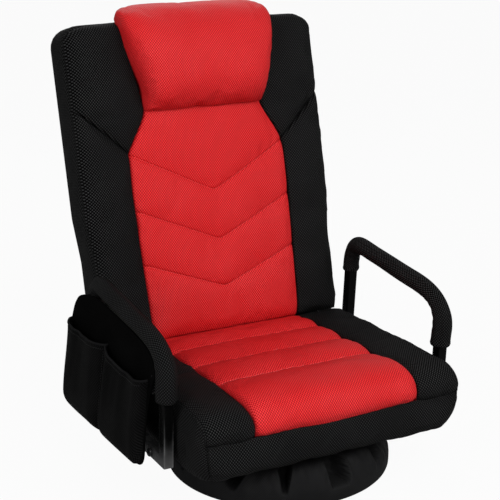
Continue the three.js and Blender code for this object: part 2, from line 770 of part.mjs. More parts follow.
function arms() {
  const armInner = armCentre - armTube / 2;
  const armOuter = armCentre + armTube / 2;
  const spacerStart = frameHalfWidth + frameTubeRadius + gap;
  sides.forEach(([name, side]) => {
    const place = (y, z, lift) => [side * armCentre + lift, y, z];
    const loop = tube(armPath, true, squareSection(armTube / 2), place);
    const drills = boltPlaces.map((spot) => boltDrill(side, spot, boltRadius + gap));
    add(`arm_frame_${name}`, cutAway(loop, ...drills), 'blackSteel');
    const room = tube(armPath, true, squareSection(armTube / 2 + gap), place);
    const sleeve = tube(sleevePath(), false, circlePoints(sleeveRadius, 12), place);
    add(`arm_sleeve_${name}`, cutAway(sleeve, room), 'blackMesh');
    boltPlaces.forEach((spot, k) => {
      const end = k ? 'rear' : 'front';
      const seat = armOuter + gap;
      const profile = [
        [0, side * (seat - boltReach)], [boltRadius, side * (seat - boltReach)], [boltRadius, side * seat],
        [boltHeadRadius, side * seat], [boltHeadRadius, side * (seat + boltHeadHeight)],
        [0, side * (seat + boltHeadHeight)],
      ];
      add(`arm_bolt_${name}_${end}`, turned(profile, boltSegments, aboutX(spot, armLowBar)), 'zinc');
      const [low, high] = between(side, spacerStart, armInner - gap);
      const bore = boltRadius + gap;
      const body = [[bore, low], [spacerRadius, low], [spacerRadius, high], [bore, high]];
      add(`arm_spacer_${name}_${end}`, turned(body, boltSegments, aboutX(spot, armLowBar)), 'blackSteel');
    });
  });
}

// Pouch that hangs on the sitter's right arm
// The cloth leans out below to clear the bolt heads and swings out to the rear past the arm sleeve
function pouchPlane(y, z) {
  const swing = (pouchSwing * (y - pouchFront)) / (armRearPostHigh - sleeveRadius - pouchFront);
  const lean = (pouchLean * (pouchRearTop - z)) / (pouchRearTop - pouchBottom);
  return -(armCentre + armTube / 2 + gap + swing + lean);
}

const onPouch = (y, z, out) => [pouchPlane(y, z) - out, y, z];

function sleeveUnderside(y) {
  const share = (y - armFrontLean) / (armRearPostHigh - armFrontLean);
  const hang = Math.sqrt(sleeveRadius ** 2 - (armTube / 2 + gap) ** 2);
  return mix(armFrontTop, armRearTop, share) - hang - gap * 2;
}

function pouchBackPanel() {
  const top = sleeveUnderside(armRearPostHigh - armRearBend * 2);
  const outline = filletPath([
    [pouchFront, pouchBottom, pouchCorner], [pouchRear, pouchBottom, pouchCorner],
    [pouchRear, pouchRearTop, pouchCorner / 2], [armRearPostHigh - armRearBend * 2, top, 0],
    [pouchFront + armFrontBend / 2, sleeveUnderside(pouchFront + armFrontBend / 2), 0],
    [pouchFront, sleeveUnderside(pouchFront) - armFrontBend / 2, 0],
  ], true, 4);
  add('pouch_back_panel', prism(outline, [], 0, pouchCloth, onPouch), 'blackCloth');
}

// Height of the pocket hems: each sags between its ends, the front one the most
function hemHeight(y) {
  const front = y < pouchDivider;
  const [start, end] = front ? [pouchFront, pouchDivider] : [pouchDivider, pouchRear];
  const sag = front ? pouchSag : pouchSag / 3;
  return pouchHem - sag * Math.sin(Math.PI * clamp01((y - start) / (end - start))) ** hemRoundShare;
}

function pouchFloor(y) {
  const fromEnd = Math.min(y - pouchFront, pouchRear - y);
  const away = Math.max(0, pouchCorner - fromEnd);
  return pouchBottom + pouchCorner - Math.sqrt(Math.max(0, pouchCorner ** 2 - away ** 2));
}

function pouchDepth(y, share) {
  const along = clamp01((y - pouchFront) / (pouchRear - pouchFront));
  const ends = Math.sqrt(clamp01(Math.min(along, 1 - along) / pouchEndShare));
  const waist = edgeDrop(Math.abs(y - pouchDivider), pouchCorner, pouchMouth / 3);
  const belly = Math.sin(Math.PI * mix(bellyTurnShares[0], bellyTurnShares[1], share)) ** bellyRoundShare;
  const swell = (pouchBelly - pouchMouth) * belly * (1 - share * bellyTaperShare);
  const foot = edgeDrop(share * (pouchHem - pouchBottom), pouchCorner, pouchBelly / 2);
  return pouchCloth + (pouchMouth + swell - waist - foot) * mix(pouchEndDepthShare, 1, ends);
}

function pouchPockets() {
  const face = pouchCloth + gap;
  const columnShares = [0, 0.03, 0.08, 0.2, 0.34, 0.46, 0.523, 0.58, 0.7, 0.84, 0.93, 0.97, 1];
  const hollowShares = [0, 0.08, 0.3, 0.5, 0.7, 0.92, 1];
  const body = padded(columnShares, pouchRowShares, (s, t) => {
    const y = mix(pouchFront, pouchRear, s);
    return onPouch(y, mix(pouchFloor(y), hemHeight(y), t), face + pouchDepth(y, t));
  }, (s, t) => {
    const y = mix(pouchFront, pouchRear, s);
    return onPouch(y, mix(pouchFloor(y), hemHeight(y), t), face);
  });
  const hollowSpot = (from, to, s, t) => {
    const y = mix(from, to, s);
    const low = pouchFloor(y) + hemWall;
    const z = t > 1 ? hemHeight(y) + overrun : mix(low, hemHeight(y), t);
    const share = clamp01((z - pouchFloor(y)) / (hemHeight(y) - pouchFloor(y)));
    return { y, z, share };
  };
  const hollow = (from, to) => padded(hollowShares, [...pouchRowShares, 2], (s, t) => {
    const { y, z, share } = hollowSpot(from, to, s, t);
    return onPouch(y, z, face + Math.max(pouchDepth(y, share) - pouchCloth, pouchCloth));
  }, (s, t) => {
    const { y, z } = hollowSpot(from, to, s, t);
    return onPouch(y, z, face - pouchCloth);
  });
  const front = hollow(pouchFront + hemWall, pouchDivider - hemWall / 2);
  const rear = hollow(pouchDivider + hemWall / 2, pouchRear - hemWall);
  add('pouch_pockets', cutAway(body, front, rear), 'blackCloth');
}

// Recline hinges
function seatHingePlate(side) {
  const start = hingeY - seatPlateReach;
  const rise = seatSeamHeight - plateSeamClearance - foamLow;
  const neck = rise / 2;
  const disc = evenShares(12).map((share) => {
    const angle = Math.PI * seatDiscTurnShare * (1 - 2 * share);
    return [hingeY + platePitchRadius * Math.cos(angle), hingeZ + platePitchRadius * Math.sin(angle)];
  });
  const plan = [
    [start, foamLow], [start, foamLow + neck], [start + neck, foamLow + rise], ...disc,
    [hingeY - platePitchRadius * 2, foamLow],
  ];
  const bore = circlePoints(hingeRivetRadius + runningGap, 24, hingeY, hingeZ);
  const [low, high] = between(side, seatPlateInner, seatPlateInner + sheetSteel);
  return prism(plan, [bore], low, high, sideView);
}

// Toothed disc with an arm that runs up the side of the back's frame
function backHingePlate(side) {
  const [first, last] = toothTurnShares;
  const pitch = (Math.PI * (last - first)) / toothCount;
  const tip = platePitchRadius + toothHeight;
  const teeth = evenShares(toothCount - 1).flatMap((share) => {
    const angle = mix(Math.PI * first + pitch / 2, Math.PI * last - pitch / 2, share);
    const steep = angle + pitch / 3;
    return [
      [platePitchRadius * Math.cos(angle), platePitchRadius * Math.sin(angle)],
      [tip * Math.cos(steep), tip * Math.sin(steep)],
    ];
  });
  const half = backPlateHalfWidth;
  const neck = tip + toothHeight;
  const arm = [
    [half, neck], [half, backPlateReach - half], [half / 2, backPlateReach],
    [-half / 2, backPlateReach], [-half, backPlateReach - half], [-half, neck],
  ];
  const bore = circlePoints(hingeRivetRadius + runningGap, 24);
  const [low, high] = between(side, backPlateInner, backPlateInner + sheetSteel);
  return prism([...teeth, ...arm], [bore], low, high, (out, up, x) => onBack(x, up, out));
}

function hinges() {
  sides.forEach(([name, side]) => {
    add(`hinge_seat_plate_${name}`, seatHingePlate(side), 'blackSteel');
    add(`hinge_back_plate_${name}`, backHingePlate(side), 'blackSteel');
    const [low, high] = between(side, seatPlateInner - gap, backPlateInner + sheetSteel + gap);
    const [start, end] = [low - hingeRivetHeadHeight, high + hingeRivetHeadHeight];
    const rivet = [
      [0, start], [hingeRivetHead, start], [hingeRivetHead, low], [hingeRivetRadius, low],
      [hingeRivetRadius, high], [hingeRivetHead, high], [hingeRivetHead, end], [0, end],
    ];
    add(`hinge_rivet_${name}`, turned(rivet, 24, aboutX(hingeY, hingeZ)), 'zinc');
    const [pawlIn, pawlOut] = between(side, backPlateInner, backPlateInner + sheetSteel);
    const tipY = hingeY - platePitchRadius - toothHeight * 2;
    const pawl = [
      [tipY, hingeZ - pawlHalfWidth], [tipY - pawlHalfWidth, hingeZ + pawlHalfWidth / 2],
      [tipY - pawlLength + pawlHalfWidth, hingeZ], [tipY - pawlLength, hingeZ - pawlHalfWidth],
      [tipY - pawlLength + pawlHalfWidth, hingeZ - pawlHalfWidth * 2],
    ];
    add(`hinge_pawl_${name}`, prism(pawl, [], pawlIn, pawlOut, sideView), 'zinc');
  });
}

// Back structure
const backLowHalfWidth = seatHalfWidth;
const backHighHalfWidth = backLowHalfWidth + backFlare;
const backFrameHalfWidth = backLowHalfWidth - backFrameSideInset;
const rollHalfLength = seatPlateInner - gap - hingeRivetHeadHeight - rollEndGap;
const backOutline = filletPath([
  [-backLowHalfWidth, backBottom, backFootCorner], [backLowHalfWidth, backBottom, backFootCorner],
  [backLowHalfWidth, backWidenStart, backCorner], [backHighHalfWidth, backWidenEnd, backCorner],
  [backHighHalfWidth, backShoulder, backCorner], [0, backShoulder + backDome, backShoulder],
  [-backHighHalfWidth, backShoulder, backCorner], [-backHighHalfWidth, backWidenEnd, backCorner],
  [-backLowHalfWidth, backWidenStart, backCorner],
], true, 5);
const backInside = offsetOutline(backOutline, -backBoxingWall - gap);
const backFrameLow = backBottom + backBoxingWall + gap + frameTubeRadius;
const backFrameHigh = backShoulder - backFrameInset;

function backFrame() {
  const half = backFrameHalfWidth;
  const rail = rectangle(-half, half, backFrameLow, backFrameHigh, frameTubeCorner, 4);
  add('back_frame', tube(rail, true, circlePoints(frameTubeRadius, 8), onBack), 'blackSteel');
  const reach = half - frameTubeRadius - gap;
  ['lower', 'upper'].forEach((name, k) => {
    const up = mix(backFrameLow, backFrameHigh, backCrossbarShares[k]);
    const bar = block(-reach, reach, up - backCrossbarHalf, up + backCrossbarHalf,
      -backCrossbarHalf, backCrossbarHalf, onBack);
    add(`back_crossbar_${name}`, bar, 'blackSteel');
  });
}

function backShells() {
  const level = (outline, out) => outline.map(([x, up]) => onBack(x, up, out));
  const swellTo = (amount) => offsetOutline(backOutline, amount);
  const outer = [
    level(swellTo(-backBulge * 2), -backRearDepth), level(swellTo(0), -backRearDepth + backBulge * 2),
    level(swellTo(backBulge), -backRearDepth / 3), level(swellTo(0), backBoxingFront),
  ];
  const inside = offsetOutline(backOutline, -backBoxingWall);
  const inner = [level(inside, backBoxingFront), level(inside, -backRearDepth)];
  const slots = sides.map(([, side]) => {
    const [low, high] = between(side, backPlateInner - gap, backPlateInner + sheetSteel + gap);
    const half = backPlateHalfWidth + gap;
    return block(low, high, backBottom - overrun, backPlateReach + gap, -half, half, onBack);
  });
  add('back_boxing', cutAway(loft([...outer, ...inner], true), ...slots), 'blackMesh');
  const panelLow = -backRearDepth + gap;
  const panel = prism(backInside, [], panelLow, panelLow + backPanelThickness, onBack);
  add('back_rear_panel', panel, 'blackCloth');
  add('back_foam_core', prism(backInside, [], frameTubeRadius + gap, backBoxingFront - gap, onBack), 'foam');
}

function backLowerRoll() {
  const half = backRearDepth;
  const round = evenShares(14).map((share) => {
    const angle = -Math.PI * share;
    return [half * Math.cos(angle), half * Math.sin(angle)];
  });
  const top = backBottom - backBulge - gap;
  const section = [...round, [-half, top], [half, top]];
  const place = (out, up, x) => onBack(x, up, out);
  add('back_lower_roll', prism(section, [], -rollHalfLength, rollHalfLength, place), 'blackMesh');
}

// Back cushions
const backLength = backShoulder + backDome - backBottom;
const backPadLow = backBoxingFront + gap;
const redHalf = (up) => tableAt(redWidthShares, clamp01((up - backBottom) / backLength)) * backHighHalfWidth;

function backOuterHalf(up) {
  const widen = clamp01((up - backWidenStart) / (backWidenEnd - backWidenStart));
  const corner = Math.max(0, up - (backShoulder - backCorner));
  const cut = backCorner - Math.sqrt(Math.max(0, backCorner ** 2 - corner ** 2));
  return mix(backLowHalfWidth, backHighHalfWidth, widen) - cut - gap;
}

function backCentrePad() {
  const columnShares = [0, 0.025, 0.07, 0.17, 0.33, 0.5, 0.67, 0.83, 0.93, 0.975, 1];
  const low = backBottom + gap;
  const high = pillowBottom - gap;
  const reach = high - low;
  const vertices = [0, ...chevronVertexShares.map((share) => (share * backLength) / reach), 1];
  const lifts = [0, ...chevronRises, 0];
  const bandRows = vertices.slice(1).flatMap((edge, k) => {
    return bandStepShares.map((share) => mix(vertices[k], edge, share));
  });
  const rows = [...bandRows, 1];
  const bandOf = (t) => Math.max(1, vertices.findIndex((edge) => edge >= t - Number.EPSILON * 4));
  const spot = (s, t) => {
    const k = bandOf(t);
    const inside = clamp01((t - vertices[k - 1]) / (vertices[k] - vertices[k - 1]));
    const lift = mix(lifts[k - 1], lifts[k], inside);
    const up = low + t * reach + lift * Math.abs(2 * s - 1);
    const half = redHalf(up) - seamGap;
    return { x: mix(-half, half, s), up, half, inside, first: k === 1, last: k === vertices.length - 1, t };
  };
  const upper = (s, t) => {
    const p = spot(s, t);
    const plain = (p.first && p.inside < 1 / 2) || (p.last && p.inside > 1 / 2);
    const grooved = plain ? 1 : Math.sqrt(Math.sin(Math.PI * p.inside));
    const crown = backCrown * (1 - (p.x / p.half) ** 2) * clamp01(p.t / crownStartShare);
    const drop = edgeDrop(p.half - Math.abs(p.x), bolsterEdgeRoll, innerSeamDepth)
      + edgeDrop(high - p.up, bolsterEdgeRoll, innerSeamDepth * 2)
      + edgeDrop(p.up - low, bolsterEdgeRoll, innerSeamDepth);
    return onBack(p.x, p.up, backFrontFace + crown - chevronDepth * (1 - grooved) - drop);
  };
  const under = (s, t) => {
    const p = spot(s, t);
    return onBack(p.x, p.up, backPadLow);
  };
  add('back_center_pad', padded(columnShares, rows, upper, under), 'redMesh');
}

function bolster(side, rows, columnShares, spotOf, edges) {
  const place = (s, t) => {
    const share = side > 0 ? s : 1 - s;
    const p = spotOf(share, t);
    return { ...p, x: side * p.x };
  };
  const upper = (s, t) => {
    const p = place(s, t);
    const inner = Math.abs(p.x) - redHalf(p.up) - seamGap;
    const outer = backOuterHalf(p.up) - Math.abs(p.x);
    const share = side > 0 ? s : 1 - s;
    const lengthwise = Math.sqrt(Math.sin(Math.PI * clamp01(t)));
    const crown = backCrown * edges.crownShare * Math.sin(Math.PI * share) * lengthwise;
    const drop = edgeDrop(inner, bolsterEdgeRoll, innerSeamDepth)
      + edgeDrop(outer, bolsterEdgeRoll, bolsterEdgeRoll)
      + edgeDrop(t * p.rise, bolsterEdgeRoll, edges.lowDepth)
      + edgeDrop((1 - t) * p.rise, bolsterEdgeRoll, edges.highDepth);
    return onBack(p.x, p.up, Math.max(backFrontFace + crown - drop, backPadLow + sheetSteel));
  };
  const under = (s, t) => {
    const p = place(s, t);
    return onBack(p.x, p.up, backPadLow);
  };
  return padded(columnShares, rows, upper, under);
}

// The seam between the lower and the upper bolster runs from the red middle up to the outer edge
function diagonal(share, shift) {
  const up = mix(diagonalInnerRise, diagonalOuterRise, share) + shift;
  const x = mix(redHalf(diagonalInnerRise) + seamGap, backOuterHalf(diagonalOuterRise), share);
  return { x, up };
}

// A bolster's place across, pulled over to the slanting seam near that end
function leaningTo(seam, up, share, weight) {
  const across = (level) => mix(redHalf(level) + seamGap, backOuterHalf(level), share);
  return across(up) + (seam.x - across(seam.up)) * weight;
}

function backBolsters() {
  const columnShares = [0, 0.1, 0.26, 0.5, 0.74, 0.87, 0.95, 1];
  const lowRowShares = [0, 0.03, 0.08, 0.25, 0.5, 0.75, 0.92, 0.98, 1];
  const highRowShares = [0, 0.03, 0.1, 0.3, 0.5, 0.7, 0.85, 0.94, 0.985, 1];
  const lowest = backBottom + gap;
  const lowerSpot = (share, t) => {
    const seam = diagonal(share, -seamGap);
    const up = mix(lowest, seam.up, t);
    return { x: leaningTo(seam, up, share, t ** 4), up, rise: seam.up - lowest };
  };
  const upperSpot = (share, t) => {
    const seam = diagonal(share, seamGap);
    const outerX = backHighHalfWidth - backCorner * cornerTrimShare;
    const topX = mix(redHalf(backShoulder) + seamGap, outerX, share);
    const corner = Math.max(0, topX - (backHighHalfWidth - backCorner));
    const arch = backDome * (1 - topX / backHighHalfWidth);
    const highest = backShoulder + arch - (backCorner - Math.sqrt(backCorner ** 2 - corner ** 2)) - gap;
    const up = mix(seam.up, highest, t);
    return { x: leaningTo(seam, up, share, (1 - t) ** 4), up, rise: highest - seam.up };
  };
  const lowerEdges = { lowDepth: innerSeamDepth, highDepth: innerSeamDepth, crownShare: 0.5 };
  const upperEdges = { lowDepth: innerSeamDepth, highDepth: bolsterEdgeRoll, crownShare: 1.1 };
  sides.forEach(([name, side]) => {
    const lower = bolster(side, lowRowShares, columnShares, lowerSpot, lowerEdges);
    const upper = bolster(side, highRowShares, columnShares, upperSpot, upperEdges);
    add(`back_bolster_lower_${name}`, lower, 'blackMesh');
    add(`back_bolster_upper_${name}`, upper, 'blackMesh');
  });
}

// The pillow bulges in front of the back and wraps over its top edge
function headrestPillow() {
  const columnShares = [0, 0.03, 0.09, 0.2, 0.35, 0.5, 0.65, 0.8, 0.91, 0.97, 1];
  const rows = evenShares(18);
  const topEdge = backShoulder + backDome + backBulge + gap;
  const section = (t) => {
    const sweep = Math.PI * mix(pillowSweepShares[0], pillowSweepShares[1], t);
    const middle = mix(pillowBottom, pillowTop, pillowMiddleShare);
    const lift = Math.sin(sweep) < 0 ? middle - pillowBottom - gap : pillowTop - middle;
    const up = middle + lift * Math.sign(Math.sin(sweep)) * Math.abs(Math.sin(sweep)) ** pillowRoundShare;
    const out = Math.cos(sweep) >= 0
      ? mix(backPadLow, pillowFront, Math.cos(sweep) ** pillowRoundShare)
      : mix(backPadLow, pillowRear, Math.sin(-Math.cos(sweep) * pillowWrapShare));
    return [up, out];
  };
  const innerAt = (t) => {
    const [up, out] = section(t);
    const front = up < topEdge && out > 0;
    return front ? [Math.min(up, topEdge), backPadLow] : [topEdge, Math.min(out, backPadLow)];
  };
  const upper = (s, t) => {
    const [up, out] = section(t);
    const half = redHalf(Math.min(up, backShoulder)) - seamGap;
    const x = mix(-half, half, s);
    const [innerUp, innerOut] = innerAt(t);
    const thick = Math.max(pillowSideDrop, Math.hypot(up - innerUp, out - innerOut));
    const drop = edgeDrop(half - Math.abs(x), pillowEndRoll, pillowSideDrop);
    const keep = 1 - (drop / thick) * pillowEndShare;
    return onBack(x, mix(innerUp, up, keep), mix(innerOut, out, keep));
  };
  const under = (s, t) => {
    const [up, out] = innerAt(t);
    const half = redHalf(Math.min(section(t)[0], backShoulder)) - seamGap;
    return onBack(mix(-half, half, s), up, out);
  };
  add('headrest_pillow', padded(columnShares, rows, upper, under), 'redMesh');
}

baseRing();
baseCross();
basePedestal();
baseFeet();
baseCover();
swivel();
seatFrame();
seatShells();
seatBoxing();
seatCentrePad();
seatSidePads();
arms();
pouchBackPanel();
pouchPockets();
hinges();
backFrame();
backShells();
backLowerRoll();
backCentrePad();
backBolsters();
headrestPillow();

export default chair;
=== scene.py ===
"""Looks of the gaming rocker chair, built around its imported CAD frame."""
import math

import bmesh
import bpy
import numpy as np
from mathutils import Matrix, Vector

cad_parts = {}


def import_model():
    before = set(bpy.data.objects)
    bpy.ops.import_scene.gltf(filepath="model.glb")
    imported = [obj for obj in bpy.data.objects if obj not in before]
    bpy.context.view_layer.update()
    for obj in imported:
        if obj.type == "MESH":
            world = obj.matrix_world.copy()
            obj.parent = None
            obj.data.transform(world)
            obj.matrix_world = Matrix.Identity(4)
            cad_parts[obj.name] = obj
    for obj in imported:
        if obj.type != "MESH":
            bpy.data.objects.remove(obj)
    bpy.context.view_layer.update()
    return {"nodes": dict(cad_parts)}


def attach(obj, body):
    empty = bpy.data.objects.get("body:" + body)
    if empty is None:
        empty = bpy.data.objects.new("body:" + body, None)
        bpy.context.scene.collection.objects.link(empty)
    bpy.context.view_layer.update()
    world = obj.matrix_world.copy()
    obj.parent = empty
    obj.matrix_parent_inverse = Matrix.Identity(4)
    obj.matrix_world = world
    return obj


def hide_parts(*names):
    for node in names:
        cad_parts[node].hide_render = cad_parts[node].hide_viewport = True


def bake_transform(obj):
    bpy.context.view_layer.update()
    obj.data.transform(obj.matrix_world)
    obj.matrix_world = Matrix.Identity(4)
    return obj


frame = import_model()

# Lengths are in millimetres up to the moment a mesh is made
MM = 0.001
UV_SCALE = 0.01

# Sizes that the CAD part states
RECLINE = math.radians(14)
HINGE_Y, HINGE_Z = 229.3, 140.0
SEAT_FRONT, SEAT_REAR = -212.0, 178.0
SEAT_BOTTOM, SEAM_Z = 92.0, 165.0
RED_HALF = 162.0
SEAM_X = 254.5
SEAT_PAD_FOOT = SEAM_Z + 0.3
BACK_LOW, BACK_HIGH = 258.0, 266.0
WIDEN = (215.0, 300.0)
BACK_FOOT, SHOULDER, DOME, BACK_CORNER = 48.0, 661.0, 9.0, 34.0
BACK_LENGTH = SHOULDER + DOME - BACK_FOOT
DIAGONAL = (412.6, 504.6)
BACK_FACE, BACK_SEAM, BACK_REAR = 48.0, 23.0, -47.0
BACK_PAD_FOOT = 20.5
BACK_NORMAL = np.array([0, -math.cos(RECLINE), math.sin(RECLINE)])
RED_SHARES = np.array([
    (0, 0.6), (0.06, 0.61), (0.25, 0.625), (0.45, 0.635), (0.54, 0.635), (0.585, 0.628),
    (0.615, 0.595), (0.671, 0.517), (0.702, 0.478), (0.716, 0.47), (0.76, 0.485), (0.791, 0.5),
    (0.843, 0.523), (0.877, 0.541), (0.927, 0.566), (1, 0.598)])
PILLOW_FOOT = 497.0
FACE_DEPTH = BACK_FACE - BACK_SEAM
# Half the gap between neighbouring cushions
SEAM_GAP = 0.5
# Each chevron seam's place up the back as a share of its length, and how far its arms rise
CHEVRONS = ((0.139, 64.0), (0.29, 75.0), (0.447, 86.0))
ARM_X, ARM_TUBE, ARM_LOW = 281.0, 20.0, 106.0
BOLT_Y = (-66.0, 104.0)
SIDES = (("left", 1.0), ("right", -1.0))
ENDS = ("front", "rear")


# Numbers
def clamp01(x):
    return np.clip(x, 0.0, 1.0)


def mix(a, b, t):
    return a + (b - a) * t


def ease(x):
    x = clamp01(x)
    return x * x * (3 - 2 * x)


def drop(distance, radius, depth):
    """How far a rounded edge has dropped at a distance from it."""
    away = 1 - clamp01(np.asarray(distance, float) / radius)
    return depth * (1 - np.sqrt(1 - away * away))


def ripple(points, size, seed, stretch=(1.0, 1.0, 1.0)):
    """Smooth bumps about size across, roughly -1 to 1 and the same on every run."""
    rng = np.random.default_rng(seed)
    p = np.asarray(points, float)
    total = np.zeros(p.shape[:-1])
    for _ in range(12):
        k = rng.normal(size=p.shape[-1])
        k *= 2 * math.pi / (size * rng.uniform(0.7, 1.7)) / np.linalg.norm(k)
        total += np.sin(p @ (k / np.asarray(stretch[: p.shape[-1]])) + rng.uniform(0, 2 * math.pi))
    return total / 3.6


def unit(v):
    return v / np.linalg.norm(v, axis=-1, keepdims=True)


def points(*columns):
    """Points from their coordinates, each a number or an array."""
    return np.stack(np.broadcast_arrays(*columns), axis=-1)


def way_along(line):
    """How far along a line each of its points lies."""
    return np.concatenate([[0], np.cumsum(np.linalg.norm(np.diff(line, axis=0), axis=1))])


def sample(places, way, line):
    """The line's values at places along its way."""
    return points(*(np.interp(places, way, column) for column in line.T))


def curve(points, count):
    """A smooth line through points, in equal steps."""
    p = np.asarray(points, float)
    ends = np.vstack([2 * p[0] - p[1], p, 2 * p[-1] - p[-2]])
    t = np.linspace(0, 1, 24, endpoint=False)[:, None]
    parts = [
        0.5 * (2 * b + (c - a) * t + (2 * a - 5 * b + 4 * c - d) * t**2 + (3 * b - 3 * c + d - a) * t**3)
        for a, b, c, d in zip(ends[:-3], ends[1:-2], ends[2:-1], ends[3:])]
    dense = np.vstack([*parts, p[-1:]])
    way = way_along(dense)
    return sample(np.linspace(0, 1, count) * way[-1], way, dense)


def waved(count, power=1.0):
    """Shares from 0 to 1 that lie closer together at both ends."""
    s = (1 - np.cos(np.pi * np.linspace(0, 1, count))) / 2
    return mix(np.linspace(0, 1, count), s, power)


def on_back(x, up, out):
    """Points at x across, up the back and out of its middle plane."""
    y = HINGE_Y + up * math.sin(RECLINE) - out * math.cos(RECLINE)
    z = HINGE_Z + up * math.cos(RECLINE) + out * math.sin(RECLINE)
    return points(x, y, z)


def fillets(corners, steps):
    """A closed outline with rounded corners, from (x, y, radius) triples."""
    path, count = [], len(corners)
    for k, (x, y, radius) in enumerate(corners):
        here = np.array([x, y], float)
        if not radius:
            path.append(here)
            continue
        before = np.array(corners[k - 1][:2], float) - here
        after = np.array(corners[(k + 1) % count][:2], float) - here
        before /= np.linalg.norm(before)
        after /= np.linalg.norm(after)
        half = math.acos(float(np.clip(before @ after, -1, 1))) / 2
        bisector = (before + after) / np.linalg.norm(before + after)
        centre = here + bisector * radius / math.sin(half)
        start = here + before * radius / math.tan(half) - centre
        end = here + after * radius / math.tan(half) - centre
        turn = math.atan2(start[0] * end[1] - start[1] * end[0], start @ end)
        parts = max(1, round(steps * abs(turn) / (math.pi / 2)))
        for share in np.linspace(0, 1, parts + 1):
            c, s = math.cos(turn * share), math.sin(turn * share)
            path.append(centre + [start[0] * c - start[1] * s, start[0] * s + start[1] * c])
    return np.array(path)


def evenly(loop, step):
    """The closed line again, with points about one step apart."""
    p = np.vstack([loop, loop[:1]])
    way = way_along(p)
    count = max(3, round(way[-1] / step))
    return sample(np.linspace(0, way[-1], count + 1)[:count], way, p)


def outward(path, closed=True):
    """Unit normals of a flat outline, to the right of its direction."""
    p = np.asarray(path, float)
    if closed:
        d = unit(p - np.roll(p, 1, axis=0)) + unit(np.roll(p, -1, axis=0) - p)
    else:
        d = np.gradient(p, axis=0)
    d /= np.maximum(np.linalg.norm(d, axis=1, keepdims=True), 1e-9)
    return points(d[:, 1], -d[:, 0])


# Meshes
class Shell:
    """Collects grids and caps into one mesh, with the weave's way across and along as its UV map."""

    def __init__(self):
        self.points, self.faces, self.uvs = [], [], []

    def grid(self, p, wrap=(False, False), flip=False, turn=0.0, lay=None):
        """A sheet of faces through p; lay gives each point's place on the cloth where rows bend."""
        p = np.asarray(p, float)
        rows, cols = p.shape[:2]
        first = len(self.points)
        self.points.extend(p.reshape(-1, 3).tolist())
        full = np.concatenate([p, p[:1]], axis=0) if wrap[0] else p
        full = np.concatenate([full, full[:, :1]], axis=1) if wrap[1] else full
        across = np.cumsum(np.linalg.norm(np.diff(full, axis=1, prepend=full[:, :1]), axis=2), axis=1)
        mid = full.shape[1] // 2
        across = across - across[:, mid: mid + 1]
        along = np.cumsum(np.linalg.norm(np.diff(full, axis=0, prepend=full[:1]), axis=2), axis=0)
        along = np.repeat(along[:, mid: mid + 1], full.shape[1], axis=1)
        c, s = math.cos(turn), math.sin(turn)
        uv = points(across * c - along * s, across * s + along * c) * UV_SCALE
        if lay is not None:
            uv = np.asarray(lay) * UV_SCALE
        for i in range(rows if wrap[0] else rows - 1):
            for j in range(cols if wrap[1] else cols - 1):
                corner = [(i, j), (i, j + 1), (i + 1, j + 1), (i + 1, j)]
                if flip:
                    corner.reverse()
                self.faces.append([first + (a % rows) * cols + b % cols for a, b in corner])
                self.uvs.extend(uv[a, b] for a, b in corner)
        return self

    def cap(self, loop, flip=False):
        loop = np.asarray(loop, float)
        first = len(self.points)
        self.points.extend(loop.tolist())
        ids = list(range(first, first + len(loop)))
        self.faces.append(ids[::-1] if flip else ids)
        axes = np.argsort(np.ptp(loop, axis=0))[1:]
        uv = (loop - loop.min(axis=0))[:, axes] * UV_SCALE
        self.uvs.extend(uv[::-1] if flip else uv)
        return self

    def make(self, name, material=None, weld=0.02, creases=None):
        """The mesh as an object. Welded pieces get outward faces; the others keep their own."""
        mesh = bpy.data.meshes.new(name)
        mesh.from_pydata((np.array(self.points) * MM).tolist(), [], self.faces)
        mesh.uv_layers.new(name="weave").data.foreach_set("uv", np.array(self.uvs, np.float32).ravel())
        if material:
            mesh.materials.append(material)
        work = bmesh.new()
        work.from_mesh(mesh)
        bmesh.ops.remove_doubles(work, verts=work.verts, dist=weld * MM)
        bmesh.ops.dissolve_degenerate(work, edges=work.edges, dist=0.002 * MM)
        if weld:
            bmesh.ops.recalc_face_normals(work, faces=work.faces)
        work.to_mesh(mesh)
        work.free()
        mesh.shade_smooth()
        if creases is not None:
            mesh.set_sharp_from_angle(angle=math.radians(creases))
        return placed(bpy.data.objects.new(name, mesh))


def placed(piece):
    bpy.context.scene.collection.objects.link(piece)
    return piece


def border(p):
    """The grid's rim, as one loop."""
    return np.concatenate([p[0, :-1], p[:-1, -1], p[-1, :0:-1], p[:0:-1, 0]])


def cushion(p, base, lay, flip=False):
    """A padded panel: its surface, a wall down to the base plane, and the flat base it rests on."""
    rim = border(p)
    foot = base(rim)
    shell = Shell().grid(p, flip=flip, lay=lay)
    return shell.grid([foot, rim], wrap=(False, True), flip=not flip).cap(foot, flip=flip)


def thin(first, second, flip):
    """Two skins of one cloth, joined round their rims."""
    shell = Shell().grid(first, flip=flip).grid(second, flip=not flip)
    return shell.grid([border(first), border(second)], wrap=(False, True))


def swept(path, normals, binormal, section):
    """Loops of a section along a closed flat path, mitred where it turns a corner."""
    edge = np.cross(unit(np.roll(path, -1, axis=0) - path), binormal)
    edge *= np.sign((edge * normals).sum(axis=1))[:, None]
    stretch = 1 / np.maximum((edge * normals).sum(axis=1), 0.6)
    loops = [
        here + section[:, :1] * n * k + section[:, 1:] * binormal
        for here, n, k in zip(path, normals, stretch)
    ]
    return np.stack(loops)


# Any way that no cord runs along
CORD_UP = np.array([0.31, 0.22, 0.92])


